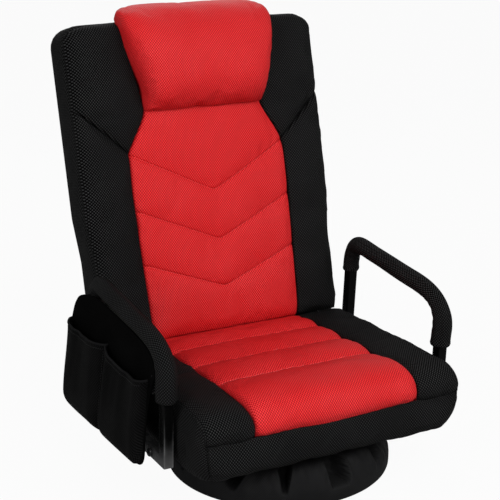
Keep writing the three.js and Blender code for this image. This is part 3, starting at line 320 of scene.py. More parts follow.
def tube_along(points, radius, closed=False):
    """A thin round cord along any line, as a grid."""
    p = np.asarray(points, float)
    d = unit(np.roll(p, -1, axis=0) - np.roll(p, 1, axis=0) if closed else np.gradient(p, axis=0))
    a = unit(np.cross(d, CORD_UP))
    b = np.cross(d, a)
    angle = np.linspace(0, 2 * math.pi, 8, endpoint=False)
    ring = np.cos(angle)[None, :, None] * a[:, None, :] + np.sin(angle)[None, :, None] * b[:, None, :]
    return p[:, None, :] + radius * ring


SWELL_FRAMES = 14
PAD_PRESSURE, BAND_PRESSURE = 4.0, 3.0
SWELL_CLOTH = {
    "quality": 5, "mass": 0.25, "tension_stiffness": 12, "compression_stiffness": 12, "shear_stiffness": 6,
    "bending_stiffness": 0.4, "air_damping": 3, "vertex_group_mass": "held", "pin_stiffness": 1,
    "use_pressure": True}


def inflate(p, pins, pressure, cap, shrink=-0.02):
    """Lets a panel swell like cloth held at its pins, and caps how far each point may move."""
    cloth = Shell().grid(p).make("swelling", weld=0.0)
    held = np.nonzero(np.asarray(pins).ravel())[0].tolist()
    cloth.vertex_groups.new(name="held").add(held, 1.0, "REPLACE")
    bpy.context.view_layer.objects.active = cloth
    swell = cloth.modifiers.new("Cloth", "CLOTH")
    for key, value in SWELL_CLOTH.items():
        setattr(swell.settings, key, value)
    swell.settings.uniform_pressure_force = pressure
    swell.settings.shrink_min = shrink
    swell.settings.effector_weights.gravity = 0
    swell.collision_settings.use_collision = False
    scene = bpy.context.scene
    for k in range(1, SWELL_FRAMES + 1):
        scene.frame_set(k)
    shown = cloth.evaluated_get(bpy.context.evaluated_depsgraph_get())
    co = np.empty(len(shown.data.vertices) * 3, np.float32)
    shown.data.vertices.foreach_get("co", co)
    moved = co.reshape(p.shape).astype(float) / MM - p
    bpy.data.objects.remove(cloth)
    scene.frame_set(1)
    length = np.linalg.norm(moved, axis=-1, keepdims=True)
    return p + moved * (cap * np.tanh(length / cap) / np.maximum(length, 1e-9))


# Materials
# Heights in metres over which the painted reflection of the floor, low on the arm tubes, fades out upwards
FLOOR_REFLECTION_FADE = (0.142, 0.1)
# How much lighter dusty metal is
DUSTY = 1.25


def grey(value, blue=None):
    return (value, value, value if blue is None else blue)


def nodes_of(name):
    material = bpy.data.materials.new(name)
    material.use_nodes = True
    return material, material.node_tree, material.node_tree.nodes["Principled BSDF"]


def put(tree, kind, **values):
    node = tree.nodes.new(kind)
    for key, value in values.items():
        setattr(node, key, value)
    return node


def settle(node, **values):
    """Sets a node's inputs; an underscore stands for the space in an input's name."""
    for key, value in values.items():
        node.inputs[key.replace("_", " ")].default_value = value
    return node


def math_node(tree, operation, *values):
    node = put(tree, "ShaderNodeMath", operation=operation)
    for socket, value in zip(node.inputs, values):
        if isinstance(value, (int, float)):
            socket.default_value = value
        else:
            tree.links.new(value, socket)
    return node.outputs[0]


def wave_node(tree, operation, uv, x, y):
    """A wave across the cloth whose crests lie square to (x, y)."""
    node = put(tree, "ShaderNodeVectorMath", operation="DOT_PRODUCT")
    tree.links.new(uv, node.inputs[0])
    node.inputs[1].default_value = (x, y, 0)
    return math_node(tree, operation, node.outputs["Value"])


def noise(tree, vector, scale, detail):
    node = settle(put(tree, "ShaderNodeTexNoise"), Scale=scale, Detail=detail, Roughness=0.55)
    tree.links.new(vector, node.inputs["Vector"])
    return node.outputs["Fac"]


def blend_colors(tree, factor, a, b):
    node = put(tree, "ShaderNodeMix", data_type="RGBA")
    tree.links.new(factor, node.inputs["Factor"])
    for socket, value in ((node.inputs[6], a), (node.inputs[7], b)):
        if isinstance(value, tuple):
            socket.default_value = (*value, 1.0)
        else:
            tree.links.new(value, socket)
    return node.outputs[2]


def spread(tree, value, low, high, out_low=0.0, out_high=1.0):
    node = put(tree, "ShaderNodeMapRange", interpolation_type="SMOOTHSTEP")
    tree.links.new(value, node.inputs["Value"])
    settle(node, From_Min=low, From_Max=high, To_Min=out_low, To_Max=out_high)
    return node.outputs["Result"]


def coat(tree, principled, color, roughness, height, strength, distance):
    """Links color, roughness and bump to the surface."""
    node = settle(put(tree, "ShaderNodeBump"), Strength=strength, Distance=distance)
    for value, socket in (
            (color, principled.inputs["Base Color"]), (roughness, principled.inputs["Roughness"]),
            (height, node.inputs["Height"]), (node.outputs["Normal"], principled.inputs["Normal"])):
        tree.links.new(value, socket)


def cloth(name, weave, tones, shine, rough, patch, fuzz, relief):
    """A cloth of thread tones with dark gaps between the threads, mottled in patches, with a fuzzy skin."""
    material, tree, principled = nodes_of(name)
    thread, gap, lit = tones
    uv, place = (put(tree, "ShaderNodeTexCoord").outputs[key] for key in ("UV", "Object"))
    gaps = weave(tree, uv)
    patches = noise(tree, place, *patch[:2])
    skin = noise(tree, uv, fuzz, 2.0)
    ground = blend_colors(tree, spread(tree, patches, 0.35, patch[2]), thread, lit)
    coat(tree, principled, blend_colors(tree, gaps, ground, gap), spread(tree, skin, 0.2, 0.8, *rough),
         math_node(tree, "MULTIPLY_ADD", gaps, relief[0], skin), *relief[1:])
    settle(principled, Specular_IOR_Level=shine)
    return material


def air_mesh(name, thread, hole, lit, pitch, grain, open_from, roughness, shine):
    """Knitted air mesh: rows of small holes between slanting threads."""
    wave = 2 * math.pi / (pitch * UV_SCALE)

    def weave(tree, uv):
        ways = [math.radians(a) for a in grain]
        rays = [wave_node(tree, "COSINE", uv, wave * math.cos(a), wave * math.sin(a)) for a in ways]
        return spread(tree, math_node(tree, "ADD", *rays), open_from, open_from + 2.0)
    return cloth(name, weave, (thread, hole, lit), shine, (roughness - 0.08, roughness + 0.08),
                 (9.0, 2.0, 0.68), 160.0, (-1.0, 0.55, 0.0007))


def plain_cloth(name, thread, gap, lit, pitch, roughness, shine):
    """Woven polyester: fine diagonal ribs broken across."""
    wave = 2 * math.pi / (pitch * UV_SCALE)

    def weave(tree, uv):
        rib = wave_node(tree, "SINE", uv, wave * 0.7, wave * 0.7)
        cross = wave_node(tree, "SINE", uv, wave * 0.55, -wave * 0.55)
        return spread(tree, math_node(tree, "MULTIPLY_ADD", cross, 0.4, rib), 0.1, 1.3)
    return cloth(name, weave, (thread, gap, lit), shine, (roughness - 0.07, roughness + 0.09),
                 (12.0, 3.0, 0.7), 220.0, (-0.8, 0.4, 0.0004))


def metal(name, color, bright, roughness, metallic, shine, foot=None):
    """Coated or plated steel: orange peel, a little dust, edges lightened partly as rubbed wear and partly as
    a painted edge highlight and, low down, a painted reflection of the floor.
    """
    material, tree, principled = nodes_of(name)
    place = put(tree, "ShaderNodeTexCoord").outputs["Object"]
    patches = noise(tree, place, 22.0, 4.0)
    ground = blend_colors(tree, spread(tree, patches, 0.3, 0.75), color, tuple(DUSTY * c for c in color))
    # Low down the part turns lighter towards its bottom: a painted reflection of the floor
    if foot:
        split = put(tree, "ShaderNodeSeparateXYZ")
        tree.links.new(place, split.inputs[0])
        ground = blend_colors(tree, spread(tree, split.outputs["Z"], *FLOOR_REFLECTION_FADE), ground, foot)
    # Pointy edges lightened: partly rubbed wear, partly a painted edge highlight
    edge = spread(tree, put(tree, "ShaderNodeNewGeometry").outputs["Pointiness"], 0.568, 0.64)
    rubbed_and_highlit_edges = math_node(tree, "MULTIPLY", edge, spread(tree, patches, 0.35, 0.75, 0.35, 1.0))
    coat(tree, principled, blend_colors(tree, rubbed_and_highlit_edges, ground, bright),
         spread(tree, patches, 0.3, 0.7, roughness - 0.02, roughness + 0.03),
         noise(tree, place, 900.0, 2.0), 0.08, 0.0001)
    settle(principled, Metallic=metallic, Specular_IOR_Level=shine)
    return material


def solid_matter(name, color, other, scale, roughness):
    """Rubber or thread: two close tones in patches over a fine rough skin."""
    material, tree, principled = nodes_of(name)
    place = put(tree, "ShaderNodeTexCoord").outputs["Object"]
    patches = spread(tree, noise(tree, place, scale, 4.0), 0.35, 0.65)
    grain = noise(tree, place, scale * 18, 2.0)
    coat(tree, principled, blend_colors(tree, patches, color, other),
         spread(tree, grain, 0.2, 0.8, roughness - 0.08, roughness + 0.08), grain, 0.3, 0.0004)
    return material


RED = air_mesh(
    "red_air_mesh", (0.84, 0.03, 0.034), (0.39, 0.0008, 0.0018), (0.88, 0.042, 0.047),
    3.7, (32, 136), -1.2, 0.54, 0.16)
BLACK = air_mesh(
    "black_air_mesh", grey(0.034, 0.0345), grey(0.0002), grey(0.042, 0.0425),
    3.9, (40, 140), -1.8, 0.7, 0.03)
POCKET = air_mesh(
    "pocket_mesh", grey(0.0068, 0.007), grey(0.0002), grey(0.014, 0.0142),
    4.0, (40, 140), -1.5, 0.66, 0.02)
SATIN = plain_cloth(
    "black_polyester", grey(0.0092, 0.0096), grey(0.003), grey(0.013, 0.0134), 2.6, 0.56, 0.05)
HEM = plain_cloth("hem_tape", grey(0.008, 0.0083), grey(0.003), grey(0.011, 0.0113), 2.2, 0.6, 0.02)
DULL = plain_cloth("black_lining", grey(0.002), grey(0.0008), grey(0.003), 2.6, 0.8, 0.008)
LINING = plain_cloth("seat_lining_cloth", grey(0.02, 0.021), grey(0.01), grey(0.027, 0.028), 3.2, 0.85, 0.1)
STEEL = metal("coated_steel", grey(0.009, 0.0095), grey(0.2), 0.3, 0.0, 0.3)
# Its lighter foot colour is a painted reflection of the floor on the glossy black tube
TUBE = metal("arm_tube_steel", grey(0.0015), grey(0.24), 0.26, 0.0, 0.05, foot=grey(0.045, 0.046))
ZINC = metal("zinc_plate", grey(0.42, 0.41), grey(0.62, 0.6), 0.36, 0.95, 0.5)
BOLT_BLACK = metal("black_oxide", grey(0.01, 0.0105), grey(0.1), 0.34, 0.2, 0.35)
RUBBER = solid_matter("black_rubber", grey(0.008), grey(0.014), 60.0, 0.85)
# Paler and pinker than the red mesh: a painted highlight along the stitched seams
RED_THREAD_PAINTED_HIGHLIGHT = solid_matter("red_thread_painted_highlight", (0.84, 0.1, 0.105), (0.74, 0.06, 0.065), 300.0, 0.5)
BLACK_THREAD = solid_matter("black_thread", grey(0.014, 0.0145), grey(0.02, 0.0205), 300.0, 0.6)


def dress(piece, body, nodes=()):
    if nodes:
        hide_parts(*nodes)
    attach(piece, body)


# Each place along a stitch, with its half width and its height, as shares of the thread's radius
STITCH_SHAPE = ((0, 0.3, -0.3), (0.2, 0.9, 0.15), (0.5, 1, 0.4), (0.8, 0.9, 0.15), (1, 0.3, -0.3))


def stitches(name, lines, lifts, thread, body, length, gap, radius):
    """Rows of short threads along lines; lifts give the way out of the cloth at each point."""
    shell = Shell()
    for line, lift in zip(lines, lifts):
        way = way_along(line)
        for start in np.arange(0, way[-1] - length, length + gap):
            first, last = (sample(start + length * q, way, line) for q in (0, 1))
            n = sample(start + length / 2, way, lift)
            n /= np.linalg.norm(n)
            d = last - first
            d /= max(np.linalg.norm(d), 1e-6)
            side = np.cross(d, n)
            rows = []
            for q, r, h in STITCH_SHAPE:
                c = first + (last - first) * q + n * h * radius
                rows.append([c + way_out * r * radius for way_out in (side, n, -side, -n)])
            shell.grid(rows, wrap=(False, True))
    dress(shell.make(name, thread, weld=0.0), body)


# Seat
SEAT_CARRIER = [
    (-212, 165), (-217.5, 170), (-220.5, 177), (-220.8, 184), (-218.5, 192), (-214, 201), (-206, 209),
    (-193, 216), (-172, 220.5), (-151, 222), (-130, 221.5), (-100, 219), (-69.5, 216.5), (-30, 214.5),
    (28.5, 211.5), (75, 209), (120, 207), (150, 205.5), (172, 202.5), (182, 196), (184, 189)]
SEAT_SIDE_CARRIER = [
    (-212, 165), (-217, 170), (-219.5, 178), (-218.5, 186), (-214, 195), (-205, 203.5), (-190, 210),
    (-163, 213.5), (-112, 214), (-60, 213), (0, 212), (60, 210), (120, 207.5), (150, 205.5), (172, 202),
    (182, 196), (184, 189)]
CHANNELS = (-69.5, 28.5, 120.0)
CHANNEL_DEPTHS = (8.5, 7.5, 6.5)
# How far the cushions have dropped at their side seams
EDGE_DROP = 8.5
RED_ROWS, BLACK_ROWS = (44, 24, 24, 18), (40, 16, 16, 14)


def section_rows(carrier, rows_between):
    """Arc shares of the seat's section from the front seam to the rear, with each row's place and normal."""
    dense = curve(carrier, 800)
    way = way_along(dense)
    tangent = np.gradient(dense, axis=0)
    for _ in range(12):
        tangent[1:-1] = (tangent[:-2] + tangent[1:-1] * 2 + tangent[2:]) / 4
    tangent = unit(tangent)
    normal = points(-tangent[:, 1], tangent[:, 0])
    crest = np.argmin(dense[:, 0])
    marks = [0.0, *(float(np.interp(y, dense[crest:, 0], way[crest:])) for y in CHANNELS), float(way[-1])]
    stops = [mix(a, b, waved(count, 0.75))[:-1] for a, b, count in zip(marks, marks[1:], rows_between)]
    stops = np.concatenate([*stops, [marks[-1]]])
    return stops, marks, sample(stops, way, dense), unit(sample(stops, way, normal))


def channel_dip(stops, marks):
    """How deep each row of the red middle lies below its carrier, and its way from the nearest channel."""
    dip = np.zeros(len(stops))
    near = np.abs(stops - np.array(marks[1:4])[:, None]).min(axis=0)
    first = stops <= marks[1]
    dip[first] = CHANNEL_DEPTHS[0] * np.exp(-((marks[1] - stops[first]) / 34) ** 0.95)
    for k in range(1, 4):
        inside = (stops > marks[k]) & (stops <= marks[k + 1])
        s = (stops[inside] - marks[k]) / (marks[k + 1] - marks[k])
        end = CHANNEL_DEPTHS[k] if k < 3 else 0.0
        swell = np.sin(np.pi * clamp01(s) if k < 3 else np.pi / 2 * clamp01(s * 2.2)) ** 0.72
        dip[inside] = mix(CHANNEL_DEPTHS[k - 1], end, ease(s)) * (1 - swell)
    return dip, near


def red_half(stops, marks):
    half = np.full(len(stops), RED_HALF)
    for k in range(4):
        inside = (stops >= marks[k]) & (stops <= marks[k + 1])
        s = (stops[inside] - marks[k]) / (marks[k + 1] - marks[k])
        half[inside] = RED_HALF + (3.0 if k else 1.5) * np.sin(np.pi * clamp01(s)) ** 0.8
    return half


def place_section(x, place, facing, sink):
    """Points at x across, on the section's rows, sunk along each row's normal."""
    y = place[:, None, 0] - facing[:, None, 0] * sink
    z = place[:, None, 1] - facing[:, None, 1] * sink
    return points(x, y, z)


def seat_base(rim):
    return points(rim[:, 0], np.clip(rim[:, 1], SEAT_FRONT, SEAT_REAR), SEAT_PAD_FOOT)


def seat_red():
    stops, marks, place, facing = section_rows(SEAT_CARRIER, RED_ROWS)
    half = red_half(stops, marks) - SEAM_GAP
    s = waved(61, 0.6) * 2 - 1
    x = half[:, None] * s
    dip, near = channel_dip(stops, marks)
    edge = half[:, None] - np.abs(x)
    sink = dip[:, None] + drop(edge, 22, EDGE_DROP) - 2.4 * (1 - s**2)
    flat = points(x, stops[:, None])
    pucker = ripple(flat, 17, 11, (1, 2.2)) * np.exp(-near[:, None] / 11) * 0.9
    soft = ripple(flat, 90, 12) * 0.9 * np.minimum(1, edge / 30)
    p = place_section(x, place, facing, sink + pucker + soft)
    pins = (near[:, None] < 4) | (edge < 3)
    pins[0] = pins[-1] = True
    p = inflate(p, pins, PAD_PRESSURE, 3.2, shrink=-0.012)
    rows = [int(np.argmin(np.abs(stops - m))) for m in marks[1:4]]
    for r in rows:
        p[r] -= np.array([0, *facing[r]]) * 0.8
    piece = cushion(p, seat_base, lay=flat).make("seat_red_middle", RED)
    dress(piece, "seat", ["seat_center_pad", "seat_foam_core"])
    lifts = [np.tile([0, *facing[r]], (len(s) - 6, 1)) for r in rows]
    lines = [p[r][3:-3] + lift * 0.4 for r, lift in zip(rows, lifts)]
    stitches("seat_channel_stitches", lines, lifts, RED_THREAD_PAINTED_HIGHLIGHT, "seat", 4.6, 0.9, 0.85)


def seat_black():
    """The black side cushions. Gives back their outer edge, front seam to rear, as rows of y and z."""
    stops, marks, place, facing = section_rows(SEAT_SIDE_CARRIER, BLACK_ROWS)
    red_stops, red_marks, _, _ = section_rows(SEAT_CARRIER, RED_ROWS)
    shares = np.interp(stops, marks, red_marks)
    inner = np.interp(shares, red_stops, red_half(red_stops, red_marks)) + SEAM_GAP
    s = waved(27, 0.7)
    for name, side in SIDES:
        x = inner[:, None] + (SEAM_X - inner[:, None]) * s
        sink = drop(x - inner[:, None], 20, 9.5) + drop(SEAM_X - x, 22, EDGE_DROP) - 2.2 * np.sin(np.pi * s)
        flat = points(x * side, stops[:, None])
        sink = sink + ripple(flat, 70, 21) * 1.1
        p = place_section(x, place, facing, sink)
        pins = (x - inner[:, None] < 3) | (SEAM_X - x < 3)
        pins[0] = pins[-1] = True
        p = inflate(p, pins, PAD_PRESSURE, 3.0, shrink=-0.012)
        p[..., 0] *= side
        piece = cushion(p, seat_base, flip=side < 0, lay=flat).make(f"seat_black_{name}", BLACK)
        dress(piece, "seat", [f"seat_side_pad_{name}"])
    return place - facing * EDGE_DROP


def front_profile(z):
    """How far forward the side panel reaches at a height: straight, then round with the front roll."""
    line = np.array(SEAT_SIDE_CARRIER[:9], float)
    sunk = line.copy()
    sunk[:, 0] += np.interp(line[:, 1], [165, 185, 213], [0.0, 5.0, 6.0])
    sunk[:, 1] -= np.interp(line[:, 1], [165, 185, 213], [0.0, 3.0, 8.5])
    return np.where(z <= 165, SEAT_FRONT, np.interp(z, sunk[:, 1], sunk[:, 0]))


def rounded_corner(p, reach_x, reach_y):
    """Rounds the upright front corners in plan, more towards the bottom."""
    q = p.copy()
    radius = mix(9.0, 40.0, ease((158 - p[..., 2]) / 62))
    dx = np.maximum(0, np.abs(p[..., 0]) - (reach_x - radius))
    dy = np.maximum(0, -p[..., 1] - (reach_y - radius))
    both = np.hypot(dx, dy)
    keep = np.where(both > 1e-6, np.maximum(dx, dy) / np.maximum(both, 1e-6), 1.0)
    q[..., 0] -= np.sign(p[..., 0]) * dx * (1 - keep)
    q[..., 1] += dy * (1 - keep)
    return q


SIDE_LENGTH = 390
SEAM_GROOVE = 3.4


def seat_band(edge_line):
    """The upright fabric round the seat: front, two side panels and rear, seamed at the corners."""
    shell = Shell()
    rows = waved(27, 0.5)
    curl_radius, curl_depth = 24.0, 17.0
    side_radius, side_depth = 8.0, 3.5
    # Front
    beside = np.array([0.0, 1.0, 2.2, 3.6, 5.5])
    s = waved(75, 0.6) * 2 - 1
    s = np.unique(np.round(np.concatenate([s, 1 - beside / SEAM_X, beside / SEAM_X - 1]), 9))
    z = mix(SEAT_BOTTOM, SEAM_Z - 0.4, rows)[:, None] + 0 * s
    x = SEAM_X * s + 0 * z
    out = 6.5 * (1 - np.abs(2 * rows - 1) ** 2.6)[:, None] * (1 - np.abs(s) ** 10)
    flat = points(x, z)
    out = out + ripple(flat, 60, 31, (1.8, 1)) * 0.9 * (1 - np.abs(s) ** 6)
    out = out - SEAM_GROOVE * np.exp(-(((1 - np.abs(s)) * SEAM_X / 2.0) ** 2))
    curl = drop(z - SEAT_BOTTOM, curl_radius, curl_depth)
    front = points(x * (1 - curl / SEAM_X), SEAT_FRONT + 0.8 - out + curl, z)
    pins = (rows[:, None] > 0.98) | (rows[:, None] < 0.02) | (np.abs(s) > 0.985)
    front = rounded_corner(inflate(front, pins, BAND_PRESSURE, 2.5), SEAM_X, -SEAT_FRONT)
    shell.grid(front)
    # Sides
    top_y, top_z = edge_line[:, 0], edge_line[:, 1]
    crest = int(np.argmax(top_z))
    u = np.unique(np.round(np.concatenate([waved(75, 0.6), beside / SIDE_LENGTH]), 9))
    grid = np.zeros((len(rows), len(u), 3))
    for j, share in enumerate(u):
        reach_y = mix(-163.0, SEAT_REAR + 5, share)
        high = np.interp(reach_y, top_y[crest:], top_z[crest:]) if reach_y > top_y[crest] else top_z[crest]
        heights = mix(SEAT_BOTTOM, high, rows)
        grid[:, j, 1] = mix(front_profile(heights), SEAT_REAR + 5, share)
        grid[:, j, 2] = heights
    vertical = (1 - np.abs(2 * rows - 1) ** 3.0)[:, None]
    lengthwise = (1 - (1 - clamp01(u / 0.1)) ** 3) * (1 - (1 - clamp01((1 - u) / 0.05)) ** 3)
    out = 8.0 * vertical * lengthwise
    out = out + ripple(grid[..., 1:], 60, 33, (1.5, 1)) * 0.9 * lengthwise * vertical
    wide = drop(grid[..., 2] - SEAT_BOTTOM, curl_radius, curl_depth)
    tight = drop(grid[..., 2] - SEAT_BOTTOM, side_radius, side_depth)
    curl = mix(wide, tight, ease((u - 0.03) / 0.17))
    groove = SEAM_GROOVE * np.exp(-((u * SIDE_LENGTH / 2.0) ** 2))
    grid[..., 0] = SEAM_X + out - curl - groove
    grid[..., 2] -= 2.5 * ((1 - rows)[:, None] ** 3) * ease(u / 0.12) * ease((1 - u) / 0.1)
    grid[..., 1] += np.where(grid[..., 1] < -100, wide * (1 - u) ** 8, 0)
    pins = (rows[:, None] > 0.98) | (rows[:, None] < 0.02) | (u > 0.985) | (u < 0.015)
    grid = rounded_corner(inflate(grid, pins, BAND_PRESSURE, 2.0), SEAM_X, -SEAT_FRONT)
    for side in (1, -1):
        panel = grid * [side, 1, 1]
        panel[:, 0] = front[:, -1 if side > 0 else 0]
        shell.grid(panel, flip=side < 0, turn=math.radians(90 * side))
    # Rear
    s = np.linspace(-1, 1, 25)
    z = mix(SEAT_BOTTOM, float(edge_line[-1, 1]) - 2, rows)[:, None] + 0 * s
    curl = drop(z - SEAT_BOTTOM, side_radius, side_depth)
    lean = 5.0 * ease((z - 150) / 30)
    rear = points((SEAM_X - curl) * s, SEAT_REAR + lean - curl, z)
    shell.grid(rear, flip=True)
    # Turned-in lower edge
    rim = np.concatenate([front[0, :-1], grid[0, :-1], rear[0, :0:-1], (grid[0] * [-1, 1, 1])[:0:-1]])
    rim = evenly(rim, 8)
    n = outward(rim[:, :2])
    rings = []
    for inset, sunk in ((-1.2, -0.5), (2, 0.3), (8, 0.2), (14, -0.2)):
        level = mix(rim[:, 2], SEAT_BOTTOM + 0.2, clamp01(inset / 14)) - sunk
        rings.append(points(*(rim[:, :2] - n * inset).T, level))
    shell.grid(rings, wrap=(False, True), flip=True)
    piece = shell.make("seat_band", BLACK, weld=0.3)
    dress(piece, "seat", ["seat_boxing"])


def crease_cloth():
    """Fabric that joins the seat's rear edge to the back's foot; on the chair it stretches when the back goes
    down, here it is one fixed shape.
    """
    line = curve([(168, 200.5), (176, 202.3), (184, 202.6), (191, 201.5), (197, 199.5), (203, 198)], 22)
    way = np.linspace(0, 1, len(line))
    for name, low, high, material, slot in (
            ("red", -158.0, 158.0, RED, "red_mesh"), ("left", 158.6, 255.0, BLACK, "black_mesh"),
            ("right", -255.0, -158.6, BLACK, "black_mesh")):
        x = mix(low, high, waved(45 if name == "red" else 19, 0.5))
        xx = np.broadcast_to(x, (len(line), len(x)))
        edge = np.minimum(xx - low, high - xx)
        flat = points(xx, 40 * way[:, None])
        sink = drop(edge, 14, 5.0) + 0.5 * ripple(flat, 40, 45, (0.5, 1))
        top = points(xx, line[:, :1], line[:, 1:] - sink)
        piece = thin(top, top - [0, 0, 2.4], flip=False).make(f"crease_cloth_{name}", material)
        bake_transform(piece)


def seat_underside():
    """The thin lining under the seat, with its square opening round the swivel."""
    half, front, rear, corner = 232, -188, 154, 20
    level, thick, opening = 93.0, 0.8, 97
    outer = evenly(fillets([
        (-half, front, corner), (half, front, corner), (half, rear, corner), (-half, rear, corner),
    ], steps=5), 10)
    centre = outer.mean(axis=0)
    angle = np.arctan2(outer[:, 1] - centre[1], outer[:, 0] - centre[0])
    square = opening / np.maximum(np.abs(np.cos(angle)), np.abs(np.sin(angle)))
    inner = points(np.cos(angle), np.sin(angle)) * np.minimum(square, 110)[:, None]
    rings = []
    for share in waved(14, 0.3):
        ring = mix(outer, inner, share)
        sag = 1.6 * math.sin(math.pi * share) + 0.5 * ripple(ring, 60, 41)
        rings.append(points(*ring.T, level - sag * math.sin(math.pi * share)))
    low = np.stack(rings)
    high = low + [0, 0, thick]
    shell = Shell().grid(low, wrap=(False, True), flip=True).grid(high, wrap=(False, True))
    for k in (0, -1):
        shell.grid([low[k], high[k]], wrap=(False, True), flip=k == 0)
    piece = shell.make("seat_lining", LINING, creases=50)
    dress(piece, "seat", ["seat_dust_cover"])


# Back
def red_back_half(up):
    share = clamp01((np.asarray(up, float) - BACK_FOOT) / BACK_LENGTH)
    return np.interp(share, RED_SHARES[:, 0], RED_SHARES[:, 1]) * BACK_HIGH


def soft_red_half(up):
    """The red middle's half width with its kinks eased as sewn cloth eases them."""
    ups = np.asarray(up, float)
    return sum(red_back_half(ups + d) * w for d, w in ((-9, 0.2), (-4, 0.2), (0, 0.2), (4, 0.2), (9, 0.2)))


def back_outer_half(up):
    up = np.asarray(up, float)
    widen = ease((up - WIDEN[0]) / (WIDEN[1] - WIDEN[0]))
    corner = np.maximum(0, up - (SHOULDER - BACK_CORNER))
    cut = BACK_CORNER - np.sqrt(np.maximum(0, BACK_CORNER**2 - corner**2))
    return mix(BACK_LOW, BACK_HIGH, widen) - cut


def back_base(rim):
    height = (rim - on_back(0.0, 0.0, BACK_PAD_FOOT)) @ BACK_NORMAL
    return rim - height[:, None] * BACK_NORMAL


# Radius and depth to which the back's cushions round off at a side seam and at an end seam
SIDE_ROLL, END_ROLL = (20, 8), (22, 8)


def back_red():
    """The red middle with its three chevron seams."""
    top, low = PILLOW_FOOT, BACK_FOOT + SEAM_GAP
    marks = [0.0] + [(share * BACK_LENGTH) / (top - low) for share, _ in CHEVRONS] + [1.0]
    rises = [0.0] + [rise for _, rise in CHEVRONS] + [0.0]
    parts = [mix(a, b, waved(n, 0.7))[:-1] for a, b, n in zip(marks, marks[1:], (16, 20, 20, 38))]
    t = np.concatenate([*parts, [1.0]])
    close = np.array([-3.4, -2.2, -1.1, 0.8, 1.6, 2.6]) / (top - low)
    t = np.unique(np.concatenate([t, *(m + close for m in marks[1:4])]))
    s = waved(65, 0.5) * 2 - 1
    lift = np.interp(t, marks, rises)
    bend = np.sqrt(s**2 + 0.0009) - 0.03
    up = low + t[:, None] * (top - low) + lift[:, None] * bend
    half = soft_red_half(up) - SEAM_GAP
    x = half * s
    edge = half - np.abs(x)
    near = np.full(up.shape, 1e3)
    groove = np.zeros(up.shape)
    for k, (_, rise) in enumerate(CHEVRONS):
        line = low + marks[k + 1] * (top - low) + rise * bend
        away = (up - line) * math.cos(math.atan(rise / RED_HALF))
        near = np.minimum(near, np.abs(away))
        sharp = np.abs(away / np.where(away > 0, 1.5, 3.0))
        groove += 3.4 * np.exp(-np.abs(away / 12.0) ** 0.9) + 2.4 * np.exp(-sharp**1.4)
    crown = 7.0 * (1 - s**2) * clamp01((up - low) / 120)
    flat = points(x, up)
    pucker = ripple(flat, 18, 51) * np.exp(-near / 9) * 0.7
    soft = ripple(flat, 95, 52) * np.minimum(1, edge / 30)
    out = BACK_FACE + crown - groove - drop(edge, *SIDE_ROLL) - drop(up - low, 30, 12) + pucker + soft
    p = on_back(x, up, out)
    pins = (near < 3.5) | (edge < 3)
    pins[0] = pins[-1] = True
    p = inflate(p, pins, PAD_PRESSURE, 3.0, shrink=-0.012)
    piece = cushion(p, back_base, lay=flat).make("back_red_middle", RED)
    dress(piece, "back", ["back_center_pad", "back_foam_core"])
    rows = [int(np.argmin(np.abs(t - m))) for m in marks[1:4]]
    lines = [p[r][3:-3] + BACK_NORMAL * 0.3 for r in rows]
    lifts = [np.tile(BACK_NORMAL, (len(line), 1)) for line in lines]
    stitches("back_chevron_stitches", lines, lifts, RED_THREAD_PAINTED_HIGHLIGHT, "back", 4.4, 0.9, 0.5)


def bolster(side, lower):
    """One side cushion's surface, with each point's place on the flat cloth."""
    rows = waved(46 if lower else 32, 0.6)
    cols = waved(29, 0.6)
    s, t = np.meshgrid(cols, rows)

    def across(level, share):
        return mix(soft_red_half(level) + SEAM_GAP, back_outer_half(level) - 0.3, share)

    seam_up = mix(DIAGONAL[0], DIAGONAL[1], s) + (-SEAM_GAP if lower else SEAM_GAP)
    seam_x = mix(soft_red_half(DIAGONAL[0]) + SEAM_GAP, back_outer_half(DIAGONAL[1]) - 0.3, s)
    if lower:
        up = mix(BACK_FOOT + SEAM_GAP, seam_up, t)
        x = across(up, s) + (seam_x - across(seam_up, s)) * t**4
        rise = seam_up - BACK_FOOT
    else:
        top_x = mix(soft_red_half(SHOULDER) + SEAM_GAP, BACK_HIGH - BACK_CORNER * 0.3, s)
        corner = np.maximum(0, top_x - (BACK_HIGH - BACK_CORNER))
        arch = DOME * (1 - top_x / BACK_HIGH)
        highest = SHOULDER + arch - (BACK_CORNER - np.sqrt(BACK_CORNER**2 - corner**2)) - 0.3
        up = mix(seam_up, highest, t)
        x = across(up, s) + (seam_x - across(seam_up, s)) * (1 - t) ** 4
        rise = highest - seam_up
    inner = np.abs(x) - soft_red_half(up)
    outer = back_outer_half(up) - np.abs(x)
    crown = (4.0 if lower else 8.0) * np.sin(np.pi * s) ** 0.8 * np.sin(np.pi * clamp01(t)) ** 0.5
    sunk = drop(inner, *SIDE_ROLL) + drop(outer, 25, FACE_DEPTH)
    if lower:
        sunk += drop(t * rise, 30, 16.5) + drop((1 - t) * rise, *END_ROLL)
        dimple_x, dimple_up = 214, 330
        away = np.hypot((x - dimple_x) / 26, (up - dimple_up) / 12)
        sunk += (2.6 if side > 0 else 1.4) * np.exp(-away**2)
    else:
        sunk += drop(t * rise, *END_ROLL) + drop((1 - t) * rise, 24, FACE_DEPTH)
    flat = points(x * side, up)
    out = np.maximum(BACK_FACE + crown - sunk + ripple(flat, 85, 61) * 1.3, BACK_SEAM)
    p = on_back(x, up, out)
    pins = (inner < 3) | (outer < 3)
    pins[0] = pins[-1] = True
    p = inflate(p, pins, PAD_PRESSURE, 3.5, shrink=-0.015)
    p[..., 0] *= side
    return p, flat


